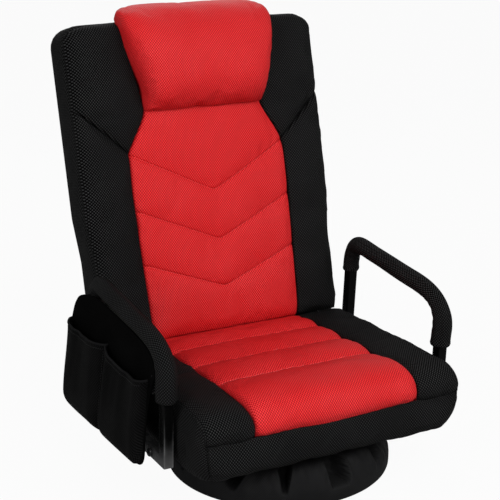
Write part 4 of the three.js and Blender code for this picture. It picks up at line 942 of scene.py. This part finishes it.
def back_black():
    for name, side in SIDES:
        for part, lower in (("lower", True), ("upper", False)):
            p, flat = bolster(side, lower)
            shell = cushion(p, back_base, flip=side < 0, lay=flat)
            piece = shell.make(f"back_bolster_cover_{part}_{name}", BLACK)
            dress(piece, "back", [f"back_bolster_{part}_{name}"])


def back_outline():
    return evenly(fillets([
        (-BACK_LOW, BACK_FOOT, 14), (BACK_LOW, BACK_FOOT, 14), (BACK_LOW, WIDEN[0], 90),
        (BACK_HIGH, WIDEN[1], 90), (BACK_HIGH, SHOULDER, BACK_CORNER), (0, SHOULDER + DOME, SHOULDER),
        (-BACK_HIGH, SHOULDER, BACK_CORNER), (-BACK_HIGH, WIDEN[1], 90), (-BACK_LOW, WIDEN[0], 90),
    ], steps=10), 9)


def back_band():
    """The side strip round the back, seamed at its front and rear edge, and the rear panel with its zip."""
    outline = back_outline()
    n = outward(outline)
    levels = np.concatenate([[BACK_SEAM + 1.5], mix(BACK_SEAM, BACK_REAR + 1, waved(16, 0.6))])
    share = clamp01((levels - BACK_REAR) / (BACK_SEAM - BACK_REAR))
    swell = -2.2 + 5.6 * np.sin(np.pi * share) ** 0.45
    swell[0] = -4.5
    rings = []
    for level, out in zip(levels, swell):
        flat = points(*outline.T, level)
        shift = out + ripple(flat, 75, 71, (1, 1, 0.6)) * 0.8 * (1 if -40 < level < 18 else 0.2)
        ring = outline + n * shift[:, None]
        rings.append(on_back(ring[:, 0], ring[:, 1], level))
    shell = Shell().grid(rings, wrap=(False, True), flip=True, turn=math.radians(90))
    centre = np.array([0.0, (BACK_FOOT + SHOULDER) / 2])
    disc = []
    for r in (1.0, 0.985, 0.96, 0.92, 0.85, 0.75, 0.62, 0.48, 0.34, 0.2, 0.08):
        ring = centre + (outline - n * 2.0 - centre) * r
        puff = 5.5 * (1 - r**6) + 0.9 * float(r < 0.97) * ripple(ring, 120, 72)
        disc.append(on_back(ring[:, 0], ring[:, 1], BACK_REAR + 1.2 - puff * (r < 0.999)))
    shell.grid(disc, wrap=(False, True), flip=True)
    shell.cap(disc[-1], flip=True)
    inner = on_back(outline[:, 0] * 0.93, mix(centre[1], outline[:, 1], 0.96), BACK_SEAM - 3)
    shell.grid([inner, rings[0]], wrap=(False, True), flip=True)
    piece = shell.make("back_band", BLACK, weld=0.05)
    dress(piece, "back", ["back_boxing", "back_rear_panel"])
    # Welt cord at the rear edge and a closed zip low on the rear panel
    welt = Shell()
    rear = on_back(outline[:, 0] - n[:, 0] * 1.4, outline[:, 1] - n[:, 1] * 1.4, BACK_REAR + 0.4)
    welt.grid(tube_along(rear, 2.0, closed=True), wrap=(True, True))
    dress(welt.make("back_rear_welt", SATIN), "back")
    zip_shell = Shell()
    level, tape_out, zip_half = 96.0, -51.6, 205
    tape = ((0.6, 0.6), (3.5, 1.0), (8.5, 0.9), (9.5, -0.6))
    x = np.linspace(-zip_half, zip_half, 42)
    for sign in (1, -1):
        rows = [on_back(x, level + sign * off, tape_out - h) for off, h in tape]
        zip_shell.grid(rows, flip=sign > 0)
    dress(zip_shell.make("back_zip_tape", SATIN, weld=0.0), "back")
    teeth = Shell()
    tooth_foot, tooth_top, taper, pitch = -51.8, -53.4, 0.7, 3.0
    corners = np.array([[-1.0, -1.6], [1.0, -1.6], [1.0, 1.6], [-1.0, 1.6]])
    for k in range(136):
        x = 1 - zip_half + k * pitch
        side = 0.9 if k % 2 else -0.9
        low = on_back(x + corners[:, 0], level + side + corners[:, 1], tooth_foot)
        high = on_back(x + corners[:, 0] * taper, level + side + corners[:, 1] * taper, tooth_top)
        teeth.grid([low, high], wrap=(False, True), flip=True)
        teeth.cap(high, flip=True)
    dress(teeth.make("back_zip_teeth", BLACK_THREAD, weld=0.0, creases=30), "back")


def back_roll():
    """The padded lower edge that turns about the hinge line, gathered at both ends."""
    gathers = np.array([(231, 0.86), (229, 0.95), (224, 0.985)])
    middle = np.linspace(-214, 214, 44)
    x = np.concatenate([-gathers[:, 0], middle, gathers[::-1, 0]])
    ends = np.concatenate([gathers[:, 1], np.ones(len(middle)), gathers[::-1, 1]])
    angle = np.linspace(0, 2 * math.pi, 72, endpoint=False)
    reach, top = 47.0, 44.0
    radius = reach / np.maximum(np.abs(np.cos(angle)), 1e-6)
    radius = np.where(np.sin(angle) > 0, np.minimum(radius, top / np.maximum(np.sin(angle), 1e-6)), reach)
    # Room in front, so that the roll clears the seat when the back stands upright
    front = ease(np.cos(angle) / 0.5) * ease((np.sin(angle) + 0.5) / 0.5)
    radius = mix(radius, np.minimum(radius, 42.5 / np.maximum(np.cos(angle), 0.66)), front)
    loops = []
    for k, place in enumerate(x):
        flat = points(place, angle * 40)
        r = radius * ends[k] + 0.6 * ripple(flat, 50, 81) - 0.6
        loops.append(on_back(place, r * np.sin(angle), r * np.cos(angle)))
    shell = Shell().grid(loops, wrap=(False, True))
    shell.cap(loops[0])
    shell.cap(loops[-1], flip=True)
    dress(shell.make("back_roll_cover", BLACK), "back", ["back_lower_roll"])


# The pillow's section at its middle, at its ends and against the back: places up the back and out of it
PILLOW_MIDDLE = [
    (493.5, 22), (489.5, 40), (490, 60), (494, 78), (503, 93), (518, 104), (540, 110.5), (566, 112),
    (595, 110.5), (623, 104), (648, 93), (669, 77), (684, 57), (693, 35), (697.5, 12), (696.5, -6),
    (690, -19), (681, -27)]
PILLOW_END = [
    (494, 22), (491, 34), (491.5, 44), (495, 53), (503, 60), (518, 66), (540, 70), (566, 72), (594, 72),
    (620, 70), (643, 65), (661, 57), (672, 46), (679, 30), (682, 12), (681.5, -4), (678.5, -16), (673, -25)]
PILLOW_HIDDEN = [(PILLOW_FOOT, 21), (560, 21), (650, 21), (672, 17), (675.5, 3), (674.5, -10), (671, -24)]


def pillow():
    """The head pillow: a full roll in front of the back that wraps over its top edge."""
    steps, cloth_length = 92, 320
    rows, end_rows = curve(PILLOW_MIDDLE, steps), curve(PILLOW_END, steps)
    cols = waved(71, 0.6) * 2 - 1
    half = soft_red_half(np.clip(rows[:, :1], PILLOW_FOOT, 664)) - SEAM_GAP
    half = half + 2.0 * np.sin(np.pi * clamp01((rows[:, :1] - 494) / 190))
    half = half - 24.0 * ease((44 - rows[:, 1:]) / 62) * (rows[:, :1] > 600)
    x = half * cols
    edge = half - np.abs(x)
    tuck = drop(edge, 44, 1.0) * 0.8 + drop(edge, 16, 1.0) * 0.2
    u = mix(rows[:, :1], end_rows[:, :1], tuck)
    o = mix(rows[:, 1:], end_rows[:, 1:], tuck)
    flat = points(x, np.linspace(0, cloth_length, steps)[:, None])
    folds = np.exp(-((u - 493) / 15) ** 2) * (o > 30)
    o = o - 4.5 * folds * (0.5 + 0.5 * ripple(flat, 60, 92, (1, 0.5)))
    o = o + 1.6 * ripple(flat, 90, 91) * np.minimum(1, edge / 30)
    p = on_back(x, u, o)
    pins = np.zeros(x.shape, bool)
    pins[:2] = pins[-2:] = True
    pins |= edge < 2
    p = inflate(p, pins, PAD_PRESSURE, 2.6, shrink=-0.01)
    shell = Shell().grid(p)
    # End panels and the hidden side against the back
    hidden = curve(PILLOW_HIDDEN, steps)
    ends = [on_back(p[:, col, 0] * 0.99, hidden[:, 0], hidden[:, 1]) for col in (0, -1)]
    for col, sign, inside in ((0, -1, ends[0]), (-1, 1, ends[1])):
        shares = (0, 0.04, 0.11, 0.22, 0.38, 0.58, 0.8, 1.0)
        parts = [mix(p[:, col], inside, q) for q in shares]
        full = 2.5 * (1 - ease((p[:, col, 2] - 740) / 40))[:, None] * np.array([sign, 0, 0])
        rows_3d = [part + full * math.sin(math.pi * q) for part, q in zip(parts, shares)]
        shell.grid(rows_3d, flip=sign < 0)
    shell.grid(np.stack([mix(ends[0], ends[1], q) for q in np.linspace(0, 1, 9)], axis=1), flip=True)
    piece = shell.make("head_pillow", RED, weld=0.05)
    dress(piece, "back", ["headrest_pillow"])


# Arms
ARM_CORNERS = [(-112, 106, 0), (-122, 308, 58), (190, 342, 26), (208, 106, 0)]
SLEEVE_LINE = [
    (-117.6, 221), (-119, 237), (-121, 258), (-118.5, 275), (-108, 292), (-92, 304), (-70, 312.5), (-40, 318),
    (0, 322), (60, 328.5), (110, 334), (150, 338.2), (168, 337), (181, 329), (190, 314), (193.5, 298),
    (194.7, 281)]
SLEEVE_LENGTH = 620
SLEEVE_RADIUS, SLEEVE_HOLE = 16.7, 11.4
# Where round the sleeve its closing flap's edge lies
FLAP_ANGLE = 2.2


def arm_frames():
    """Square steel tube with rounded edges, bent into one loop per side."""
    path = fillets(ARM_CORNERS, steps=16)
    n = outward(path)
    half, r = ARM_TUBE / 2, 2.6
    corners = fillets([(-half, -half, r), (half, -half, r), (half, half, r), (-half, half, r)], steps=4)
    section = []
    for here, there in zip(corners, np.roll(corners, -1, axis=0)):
        shares = (0, 0.12, 0.5, 0.88) if np.linalg.norm(there - here) >= half / 2 else (0,)
        section += [mix(here, there, q) for q in shares]
    for name, side in SIDES:
        centre = points(side * ARM_X, *path.T)
        normals = points(0.0, *n.T)
        p = swept(centre, normals, np.array([1.0, 0, 0]), np.array(section))
        piece = Shell().grid(p, wrap=(True, True)).make(f"arm_tube_{name}", TUBE, creases=40)
        dress(piece, "seat", [f"arm_frame_{name}"])


def arm_sleeves():
    """Foam sleeves in mesh cloth, closed by a long flap, bunched inside the rear bend."""
    path = curve(SLEEVE_LINE, 150)
    n = outward(path, closed=False)
    way = np.linspace(0, 1, len(path))
    angle = np.linspace(0, 2 * math.pi, 48, endpoint=False)
    turn = np.abs(np.gradient(np.unwrap(np.arctan2(n[:, 1], n[:, 0]))))
    turn = np.convolve(turn, np.ones(9) / 9, "same")
    turn /= turn.max()
    for name, side in SIDES:
        loops = []
        for k, here in enumerate(path):
            front = ease((0.2 - way[k]) / 0.12)
            size = SLEEVE_RADIUS + 2.0 * front
            squareness = 1 + 0.045 * np.cos(4 * angle)
            spot = points(way[k] * SLEEVE_LENGTH, np.cos(angle) * 22, np.sin(angle) * 22)
            wrinkle = 0.45 * ripple(spot, 55, 101 if side > 0 else 102, (2.2, 1, 1))
            inside = clamp01(np.cos(angle)) if turn[k] > 0.05 else 0 * angle
            bunch = turn[k] * inside * (1.8 * np.sin(way[k] * SLEEVE_LENGTH / 4.6) - 0.8)
            flap = 0.9 * ease(np.sin(angle - FLAP_ANGLE) / 0.12) * (np.cos(angle - FLAP_ANGLE) > 0)
            lip = sum(0.9 * math.exp(-((q * SLEEVE_LENGTH - 5) / 3) ** 2) for q in (way[k], 1 - way[k]))
            radius = size * squareness + wrinkle + bunch + flap * 0.9 + lip
            ring = points(radius * np.cos(angle), radius * np.sin(angle))
            centre = np.array([side * ARM_X, *here])
            normal = np.array([0, *n[k]])
            loops.append(centre + ring[:, :1] * normal + ring[:, 1:] * np.array([side, 0, 0]))
        loops = np.stack(loops)
        mouths = []
        for end, order in ((0, 1), (-1, -1)):
            centre = np.array([side * ARM_X, *path[end]])
            nearer = path[end] - path[end + order]
            along = np.array([0, *(nearer / np.linalg.norm(nearer))])
            outer = loops[end]
            spokes = outer - centre
            hole = centre + spokes * (SLEEVE_HOLE / np.linalg.norm(spokes, axis=1, keepdims=True))
            mouths.append(np.stack([
                outer + along * 1.2 - spokes * 0.05, outer + along * 1.0 - spokes * 0.16,
                hole + along * 0.4, hole - along * 6]))
        p = np.concatenate([mouths[0][::-1], loops, mouths[1]])
        piece = Shell().grid(p, wrap=(False, True)).make(f"arm_sleeve_cover_{name}", BLACK)
        dress(piece, "seat", [f"arm_sleeve_{name}"])


def sleeve_flaps():
    """The loose front end of each sleeve's closing flap, standing off its inner side."""
    path = curve(SLEEVE_LINE, 150)[1:15]
    n = outward(path, closed=False)
    rows = np.linspace(0, 1, len(path))
    for name, side in SIDES:
        sheets = []
        for thick in (0.0, 1.6):
            strip = []
            for share in np.linspace(0, 1, 7):
                reach = 14.0 + 16.0 * share * np.sin(np.pi * clamp01(0.1 + 0.8 * rows)) ** 0.3
                out = 3.0 + thick + 12.0 * share ** 1.3 + 1.1 * np.sin(rows * 5 + 2 * share) * share
                strip.append(points(side * ARM_X + side * out, *(path + n * reach[:, None]).T))
            sheets.append(np.stack(strip))
        piece = thin(*sheets, flip=True).make(f"sleeve_flap_{name}", BLACK, creases=60)
        dress(piece, "seat")


BOLT_HEAD = (
    (4, -52), (4, 0), (8, 0), (8, 0.8), (7.9, 1.6), (7.4, 2.9), (6.4, 3.9), (5.0, 4.4), (3.4, 4.5))


def bolts():
    """Domed bolts with a hexagon socket; the plain spacers between arm and seat stay the CAD part's own."""
    angle = np.linspace(0, 2 * math.pi, 40, endpoint=False)
    reach = 2.5 / np.cos((angle % (math.pi / 3)) - math.pi / 6)
    socket = ((reach, 4.5), (reach, 4.35), (reach, 2.0))
    loops = np.stack(
        [points(r * np.cos(angle), r * np.sin(angle), h) for r, h in (*BOLT_HEAD, *socket)])
    for name, side in SIDES:
        for y, end in zip(BOLT_Y, ENDS):
            x = side * (ARM_X + ARM_TUBE / 2 + 0.3 + loops[..., 2])
            p = points(x, y + loops[..., 0], ARM_LOW + loops[..., 1])
            shell = Shell().grid(p, wrap=(False, True)).cap(p[-1]).cap(p[0], flip=True)
            bolt = shell.make(f"bolt_{name}_{end}", BOLT_BLACK, creases=35)
            dress(bolt, "seat", [f"arm_bolt_{name}_{end}"])


def recoat(node, material):
    mesh = frame["nodes"][node]
    for k in range(max(1, len(mesh.material_slots))):
        if mesh.material_slots:
            mesh.material_slots[k].link = "OBJECT"
            mesh.material_slots[k].material = material


# Pouch
POUCH = {"front": -82.0, "rear": 257.0, "divider": 88.0, "hem": 254.0, "mouth": 11.0, "belly": 19.0}
POUCH_FOOT = [
    (-82, 112), (-80.5, 102), (-76, 94), (-68, 89.5), (-56, 88), (0, 88), (88, 88), (150, 88),
    (212, 88), (236, 91), (249, 100), (255, 111), (257, 122)]
POUCH_TOP = [
    (-82, 214), (-88, 230), (-97, 246), (-102.5, 260), (-101.5, 272), (-94, 283), (-79, 293), (-56, 301),
    (-28, 306.5), (0, 310), (60, 317), (110, 322), (150, 322.5), (190, 316), (212, 309.5), (226, 303),
    (237, 294), (245, 284), (250, 272), (254, 260), (257, 246)]


def pouch_plane(y, z):
    """Where across the chair the panel hangs: further out towards the rear and towards its foot."""
    swing = 7.1 * (y + 90.0) / 267.0
    lean = 19.0 * np.maximum(0, 290.0 - z) / 202.0
    return -(291.3 + swing + lean)


def on_pouch(y, z, out):
    return points(pouch_plane(y, z) - out, y, z)


def pouch_floor(y):
    foot = curve(POUCH_FOOT, 200)
    return np.interp(y, foot[:, 0], foot[:, 1])


def hem_height(y):
    front = y < POUCH["divider"]
    start = np.where(front, POUCH["front"], POUCH["divider"])
    end = np.where(front, POUCH["divider"], POUCH["rear"])
    share = clamp01((y - start) / (end - start))
    arch = np.sin(np.pi * share)
    return POUCH["hem"] - np.where(front, 11.0 * arch**0.8 + 8.0 * (1 - share) ** 2, 6.0 * arch)


def pouch_depth(y, share):
    """How far the pocket cloth stands out of the panel at a place along it and a share of its height."""
    near_front = clamp01((y - POUCH["front"]) / 16.0)
    near_rear = clamp01((POUCH["rear"] - y) / 30.0)
    ends = np.sqrt(1 - (1 - near_front) ** 2.5) * np.sqrt(1 - (1 - near_rear) ** 2)
    waist = 1 - drop(np.abs(y - POUCH["divider"]), 34, 1.0) * mix(0.78, 0.96, ease(share))
    belly = np.sin(np.pi * mix(0.12, 0.92, share)) ** 0.7
    swell = (POUCH["belly"] - POUCH["mouth"]) * belly * (1 - share * 0.6)
    foot = 1 - drop(share * 166, 26, 0.9)
    return 0.6 + (POUCH["mouth"] + 1.9 + swell) * waist * foot * mix(0.02, 1, ends)


def pouch():
    """Two pockets of polyester on a back panel, with bound edges and a stitched divider."""
    foot, top = curve(POUCH_FOOT, 95), curve(POUCH_TOP, 95)
    v = waved(40, 0.3)
    yy, z = (mix(foot[:, k], top[:, k], v[:, None]) for k in (0, 1))
    flat = points(yy, z)
    wave = 0.9 * ripple(flat, 80, 111) * np.sin(np.pi * v)[:, None]
    back = on_pouch(yy, z, 0.2 + clamp01(wave))
    front = on_pouch(yy, z, 2.3 + wave * 0.6)
    piece = thin(back, front, flip=True).make("pouch_panel", DULL, creases=60)
    binding = tube_along(evenly(border((back + front) / 2), 5), 2.1, closed=True)
    bound = Shell().grid(binding, wrap=(True, True)).make("pouch_binding", DULL)
    dress(piece, "seat", ["pouch_back_panel"])
    dress(bound, "seat")
    # Pockets
    first_end, divider, last_end = (POUCH[key] for key in ("front", "divider", "rear"))
    y = np.unique(np.concatenate(
        [mix(first_end, divider, waved(40, 0.5)), mix(divider, last_end, waved(38, 0.5))]))
    yy, tt = np.meshgrid(y, waved(42, 0.4))
    floor = pouch_floor(y)
    hem = hem_height(y)
    z = floor + (hem - floor) * tt
    flat = points(yy, z)
    depth = pouch_depth(yy, tt)
    tall = ripple(flat, 70, 112, (1, 2.4)) * 1.6 * np.minimum(1, np.abs(yy - divider) / 30)
    drag = 1.2 * ripple(flat, 34, 113, (1, 3)) * tt**2
    edge = np.minimum(1, np.minimum(yy - first_end, last_end - yy) / 20) * np.minimum(1, tt * 8)
    depth = np.maximum(depth + (tall + drag) * edge, 0.5)
    depth[0] = depth[:, 0] = depth[:, -1] = 0.5
    wall, panel_face = 1.5, 2.8
    outer = on_pouch(yy, z, panel_face + depth)
    inner = on_pouch(yy, np.maximum(z, floor + wall), np.maximum(panel_face + depth - wall, 2.4))
    shell = Shell().grid(outer).grid(inner, flip=True)
    shell.grid([outer[-1], inner[-1]])
    shell.grid([outer[:, 0], inner[:, 0]])
    shell.grid([inner[:, -1], outer[:, -1]])
    shell.grid([inner[0], outer[0]])
    piece = shell.make("pouch_pocket_cloth", POCKET, creases=60)
    hems = Shell()
    for sel in (y <= divider + 0.1, y >= divider - 0.1):
        line = ((outer[-1] + inner[-1]) / 2)[sel]
        hems.grid(tube_along(line, 2.2), wrap=(False, True))
    hem_piece = hems.make("pouch_hems", HEM, weld=0.0)
    dress(piece, "seat", ["pouch_pockets"])
    dress(hem_piece, "seat")
    # One line of stitches under the hems and one on each side of the divider
    mid = int(np.argmin(np.abs(y - divider)))
    lines = [line + [-0.3, 0, 0] for line in (outer[-4, 2:-2], outer[2:-3, mid - 1], outer[2:-3, mid + 1])]
    lifts = [np.tile([-1.0, 0, 0], (len(line), 1)) for line in lines]
    stitches("pouch_stitches", lines, lifts, BLACK_THREAD, "seat", 2.8, 1.8, 0.35)


# Base
PLEATS = 12
FIRST_PLEAT = 0.85
COVER_RADIUS, COVER_SHOULDER, COVER_CLOTH = 208.9, 76, 1.3
# How far a gap between pleats reaches in, and the height above which it opens
GAP_DEPTH, GAP_FOOT = 50, 29
PLEAT_SHIFTS = (0, 0.06, -0.05, 0.03, 0.07, -0.06, 0.02, -0.03, 0.12, -0.01, -0.03, -0.03)
# Each gap's half width at its top and foot, as shares of a pleat, and the height of its foot
GAPS = (
    (0.12, 0.02, 24), (0.09, 0.07, 34), (0.13, 0.01, 20), (0.08, 0.08, 36), (0.12, 0.02, 26), (0.1, 0.09, 32),
    (0.13, 0.02, 22), (0.11, 0.05, 30), (0.33, 0.01, 26), (0.15, 0.02, 26), (0.23, 0.17, 29),
    (0.15, 0.08, 45))
# Radius, height and how far the gaps between pleats have died out
COVER_PROFILE = (
    (205.5, 3.5, 0), (208.2, 7, 0), (COVER_RADIUS, 14, 0), (COVER_RADIUS, 22, 0), (208.3, 29, 0),
    (206.6, 36, 0), (204, 43, 0), (201, 50, 0), (197, 57, 0), (192.5, 63, 0), (187, 68.5, 0), (179, 73, 0),
    (168, COVER_SHOULDER, 0),
    (152, 76.5, 0.15), (134, 75, 0.35), (114, 72, 0.6), (94, 69, 0.85), (80, 66.5, 1), (72.6, 66, 1))


def base_cover():
    """Gathered cloth over ring and pedestal: creased panels with deep gaps between them."""
    pitch = 2 * math.pi / PLEATS
    starts = np.array([(k + shift - FIRST_PLEAT) * pitch for k, shift in enumerate((*PLEAT_SHIFTS, 0))])
    gaps = np.array([*GAPS, GAPS[0]])
    steps = np.concatenate(
        [[0], np.linspace(0.012, 0.25, 20), np.linspace(0.28, 0.72, 10), np.linspace(0.75, 0.988, 20)])
    angle = np.concatenate([mix(starts[k], starts[k + 1], steps) for k in range(PLEATS)])
    step = np.tile(steps, PLEATS)
    pleat = np.repeat(np.arange(PLEATS), len(steps))
    side = np.where(step < 0.5, pleat, pleat + 1)
    top_width, foot_width, foot_height = gaps[side].T
    near = np.minimum(step, 1 - step)
    rows = curve(COVER_PROFILE, 64)
    radius, height, fade = rows[:, :1], rows[:, 1:2], np.clip(rows[:, 2:3], 0, 1)
    rise = clamp01((height - foot_height) / (COVER_SHOULDER - foot_height))
    rise = np.maximum(rise, np.where(radius < 168, 1.0, 0.0))
    width = mix(foot_width, top_width, rise)
    inside = ease((width - near) / 0.022 + 0.5) * (rise > 0)
    deep = GAP_DEPTH * ease((height - GAP_FOOT) / 12) * (1 - fade) * inside
    beside = (near - width - 0.012) / 0.014
    lip = 1.5 * np.exp(-(beside**2)) * ease((rise - 0.2) / 0.6) * (1 - fade)
    grown = ease((height - 14) / 40) * (1 - fade)
    spot = points(angle * 190, height)
    crease = grown * (2.0 * ripple(spot, 34, 121, (0.7, 2.6)) + 1.2 * ripple(spot, 15, 122, (1, 1.6)))
    crown = grown * 3.6 * (np.sin(np.pi * step) ** 0.5 - 0.8)
    r = radius - deep + np.minimum(crown + crease + lip, COVER_RADIUS - radius + deep)
    z = height - deep * 0.12 + lip * 0.5
    outer = points(r * np.cos(angle), r * np.sin(angle), z)
    steep = ease((COVER_SHOULDER - height) / 30)
    inwards = points(np.cos(angle) * steep, np.sin(angle) * steep, 1 - steep)
    inner = outer - inwards * COVER_CLOTH
    lay = np.concatenate([spot, spot[:, -1:] + [0.4, 0]], axis=1)
    shell = Shell().grid(outer, wrap=(False, True), lay=lay).grid(inner, wrap=(False, True), flip=True)
    shell.grid([inner[0], outer[0]], wrap=(False, True))
    shell.grid([outer[-1], inner[-1]], wrap=(False, True))
    piece = shell.make("base_cloth", SATIN)
    dress(piece, "base", ["base_cover"])


PLAIN_NODES = (
    (STEEL, (
        "base_ring", "base_cross", "base_pedestal", "swivel_lower_plate", "swivel_upper_plate",
        "swivel_riser", "seat_frame", "seat_crossbar_front", "seat_crossbar_rear", "back_frame",
        "back_crossbar_lower",
        "back_crossbar_upper", "hinge_seat_plate_left", "hinge_seat_plate_right", "hinge_back_plate_left",
        "hinge_back_plate_right", "arm_spacer_left_front", "arm_spacer_left_rear", "arm_spacer_right_front",
        "arm_spacer_right_rear")),
    (ZINC, (
        "swivel_ball_ring", "swivel_pivot", "hinge_rivet_left", "hinge_rivet_right", "hinge_pawl_left",
        "hinge_pawl_right")),
    (RUBBER, ("base_foot_1", "base_foot_2", "base_foot_3", "base_foot_4", "base_centre_pad")))


# Stage, light and camera
WHITE = (1, 1, 1, 1)
SKY_LIGHT = 0.32
# How much of its own colour the floor hides from the camera
FLOOR_GLOW = 0.95


def blend_shaders(tree, shown_share, lit, shown, out):
    """Links lit to the output, with shown in its place where the camera looks at it straight."""
    rays = put(tree, "ShaderNodeLightPath")
    seen = math_node(tree, "MAXIMUM", rays.outputs["Is Camera Ray"], rays.outputs["Is Transmission Ray"])
    both = put(tree, "ShaderNodeMixShader")
    for socket, value in zip(both.inputs, (math_node(tree, "MULTIPLY", seen, shown_share), lit, shown)):
        tree.links.new(value.outputs[0] if hasattr(value, "outputs") else value, socket)
    tree.links.new(both.outputs[0], out.inputs["Surface"])


def stage():
    material, tree, principled = nodes_of("pale_floor")
    settle(principled, Base_Color=(0.45, 0.45, 0.45, 1), Roughness=0.9)
    glow = settle(put(tree, "ShaderNodeEmission"), Color=WHITE, Strength=1.0)
    blend_shaders(tree, FLOOR_GLOW, principled, glow, tree.nodes["Material Output"])
    mesh = bpy.data.meshes.new("floor")
    size, level = 30.0, -0.0005
    corners = [(-size, -size, level), (size, -size, level), (size, size, level), (-size, size, level)]
    mesh.from_pydata(corners, [], [(0, 1, 2, 3)])
    mesh.materials.append(material)
    placed(bpy.data.objects.new("floor", mesh))


def world():
    made = bpy.data.worlds.new("studio")
    bpy.context.scene.world = made
    made.use_nodes = True
    tree = made.node_tree
    tree.nodes.clear()
    seen, lit = (settle(put(tree, "ShaderNodeBackground"), Color=WHITE, Strength=s) for s in (1.0, SKY_LIGHT))
    blend_shaders(tree, 1.0, lit, seen, put(tree, "ShaderNodeOutputWorld"))


def lamp(name, place, target, size, watts):
    data = bpy.data.lights.new(name, "AREA")
    data.shape = "RECTANGLE"
    data.size, data.size_y = size, size
    data.energy = watts
    piece = placed(bpy.data.objects.new(name, data))
    piece.location = place
    piece.rotation_euler = (Vector(target) - Vector(place)).to_track_quat("-Z", "Y").to_euler()


def camera():
    data = bpy.data.cameras.new("photo_view")
    data.sensor_width = 36.0
    data.lens = 91.24
    data.clip_end = 100.0
    piece = placed(bpy.data.objects.new("photo_view", data))
    right, up, back = (0.882, -0.4712, 0.0), (0.135, 0.2527, 0.958), (-0.4514, -0.845, 0.2865)
    place = (-1.0805, -1.9108, 1.0682)
    piece.matrix_world = Matrix((*zip(right, up, back, place), (0, 0, 0, 1)))
    bpy.context.scene.camera = piece
    bpy.context.scene.view_settings.view_transform = "Standard"


camera()
world()
stage()
lamp("key", (-0.5, -2.8, 2.25), (0, 0, 0.42), 1.5, 46)
lamp("sheen", (1.3, -2.3, 2.0), (0, 0.3, 0.65), 1.0, 24)
lamp("fill", (-0.2, -2.3, 2.9), (0, 0, 0.3), 1.6, 17)
lamp("side", (-2.6, -0.9, 1.3), (0, 0.1, 0.5), 1.3, 26)
lamp("rim", (0.8, 2.2, 2.2), (0, 0.1, 0.5), 1.4, 18)

seat_red()
seat_band(seat_black())
seat_underside()
crease_cloth()
back_red()
back_black()
back_band()
back_roll()
pillow()
arm_frames()
arm_sleeves()
sleeve_flaps()
bolts()
pouch()
base_cover()
for coating, nodes in PLAIN_NODES:
    for node in nodes:
        recoat(node, coating)
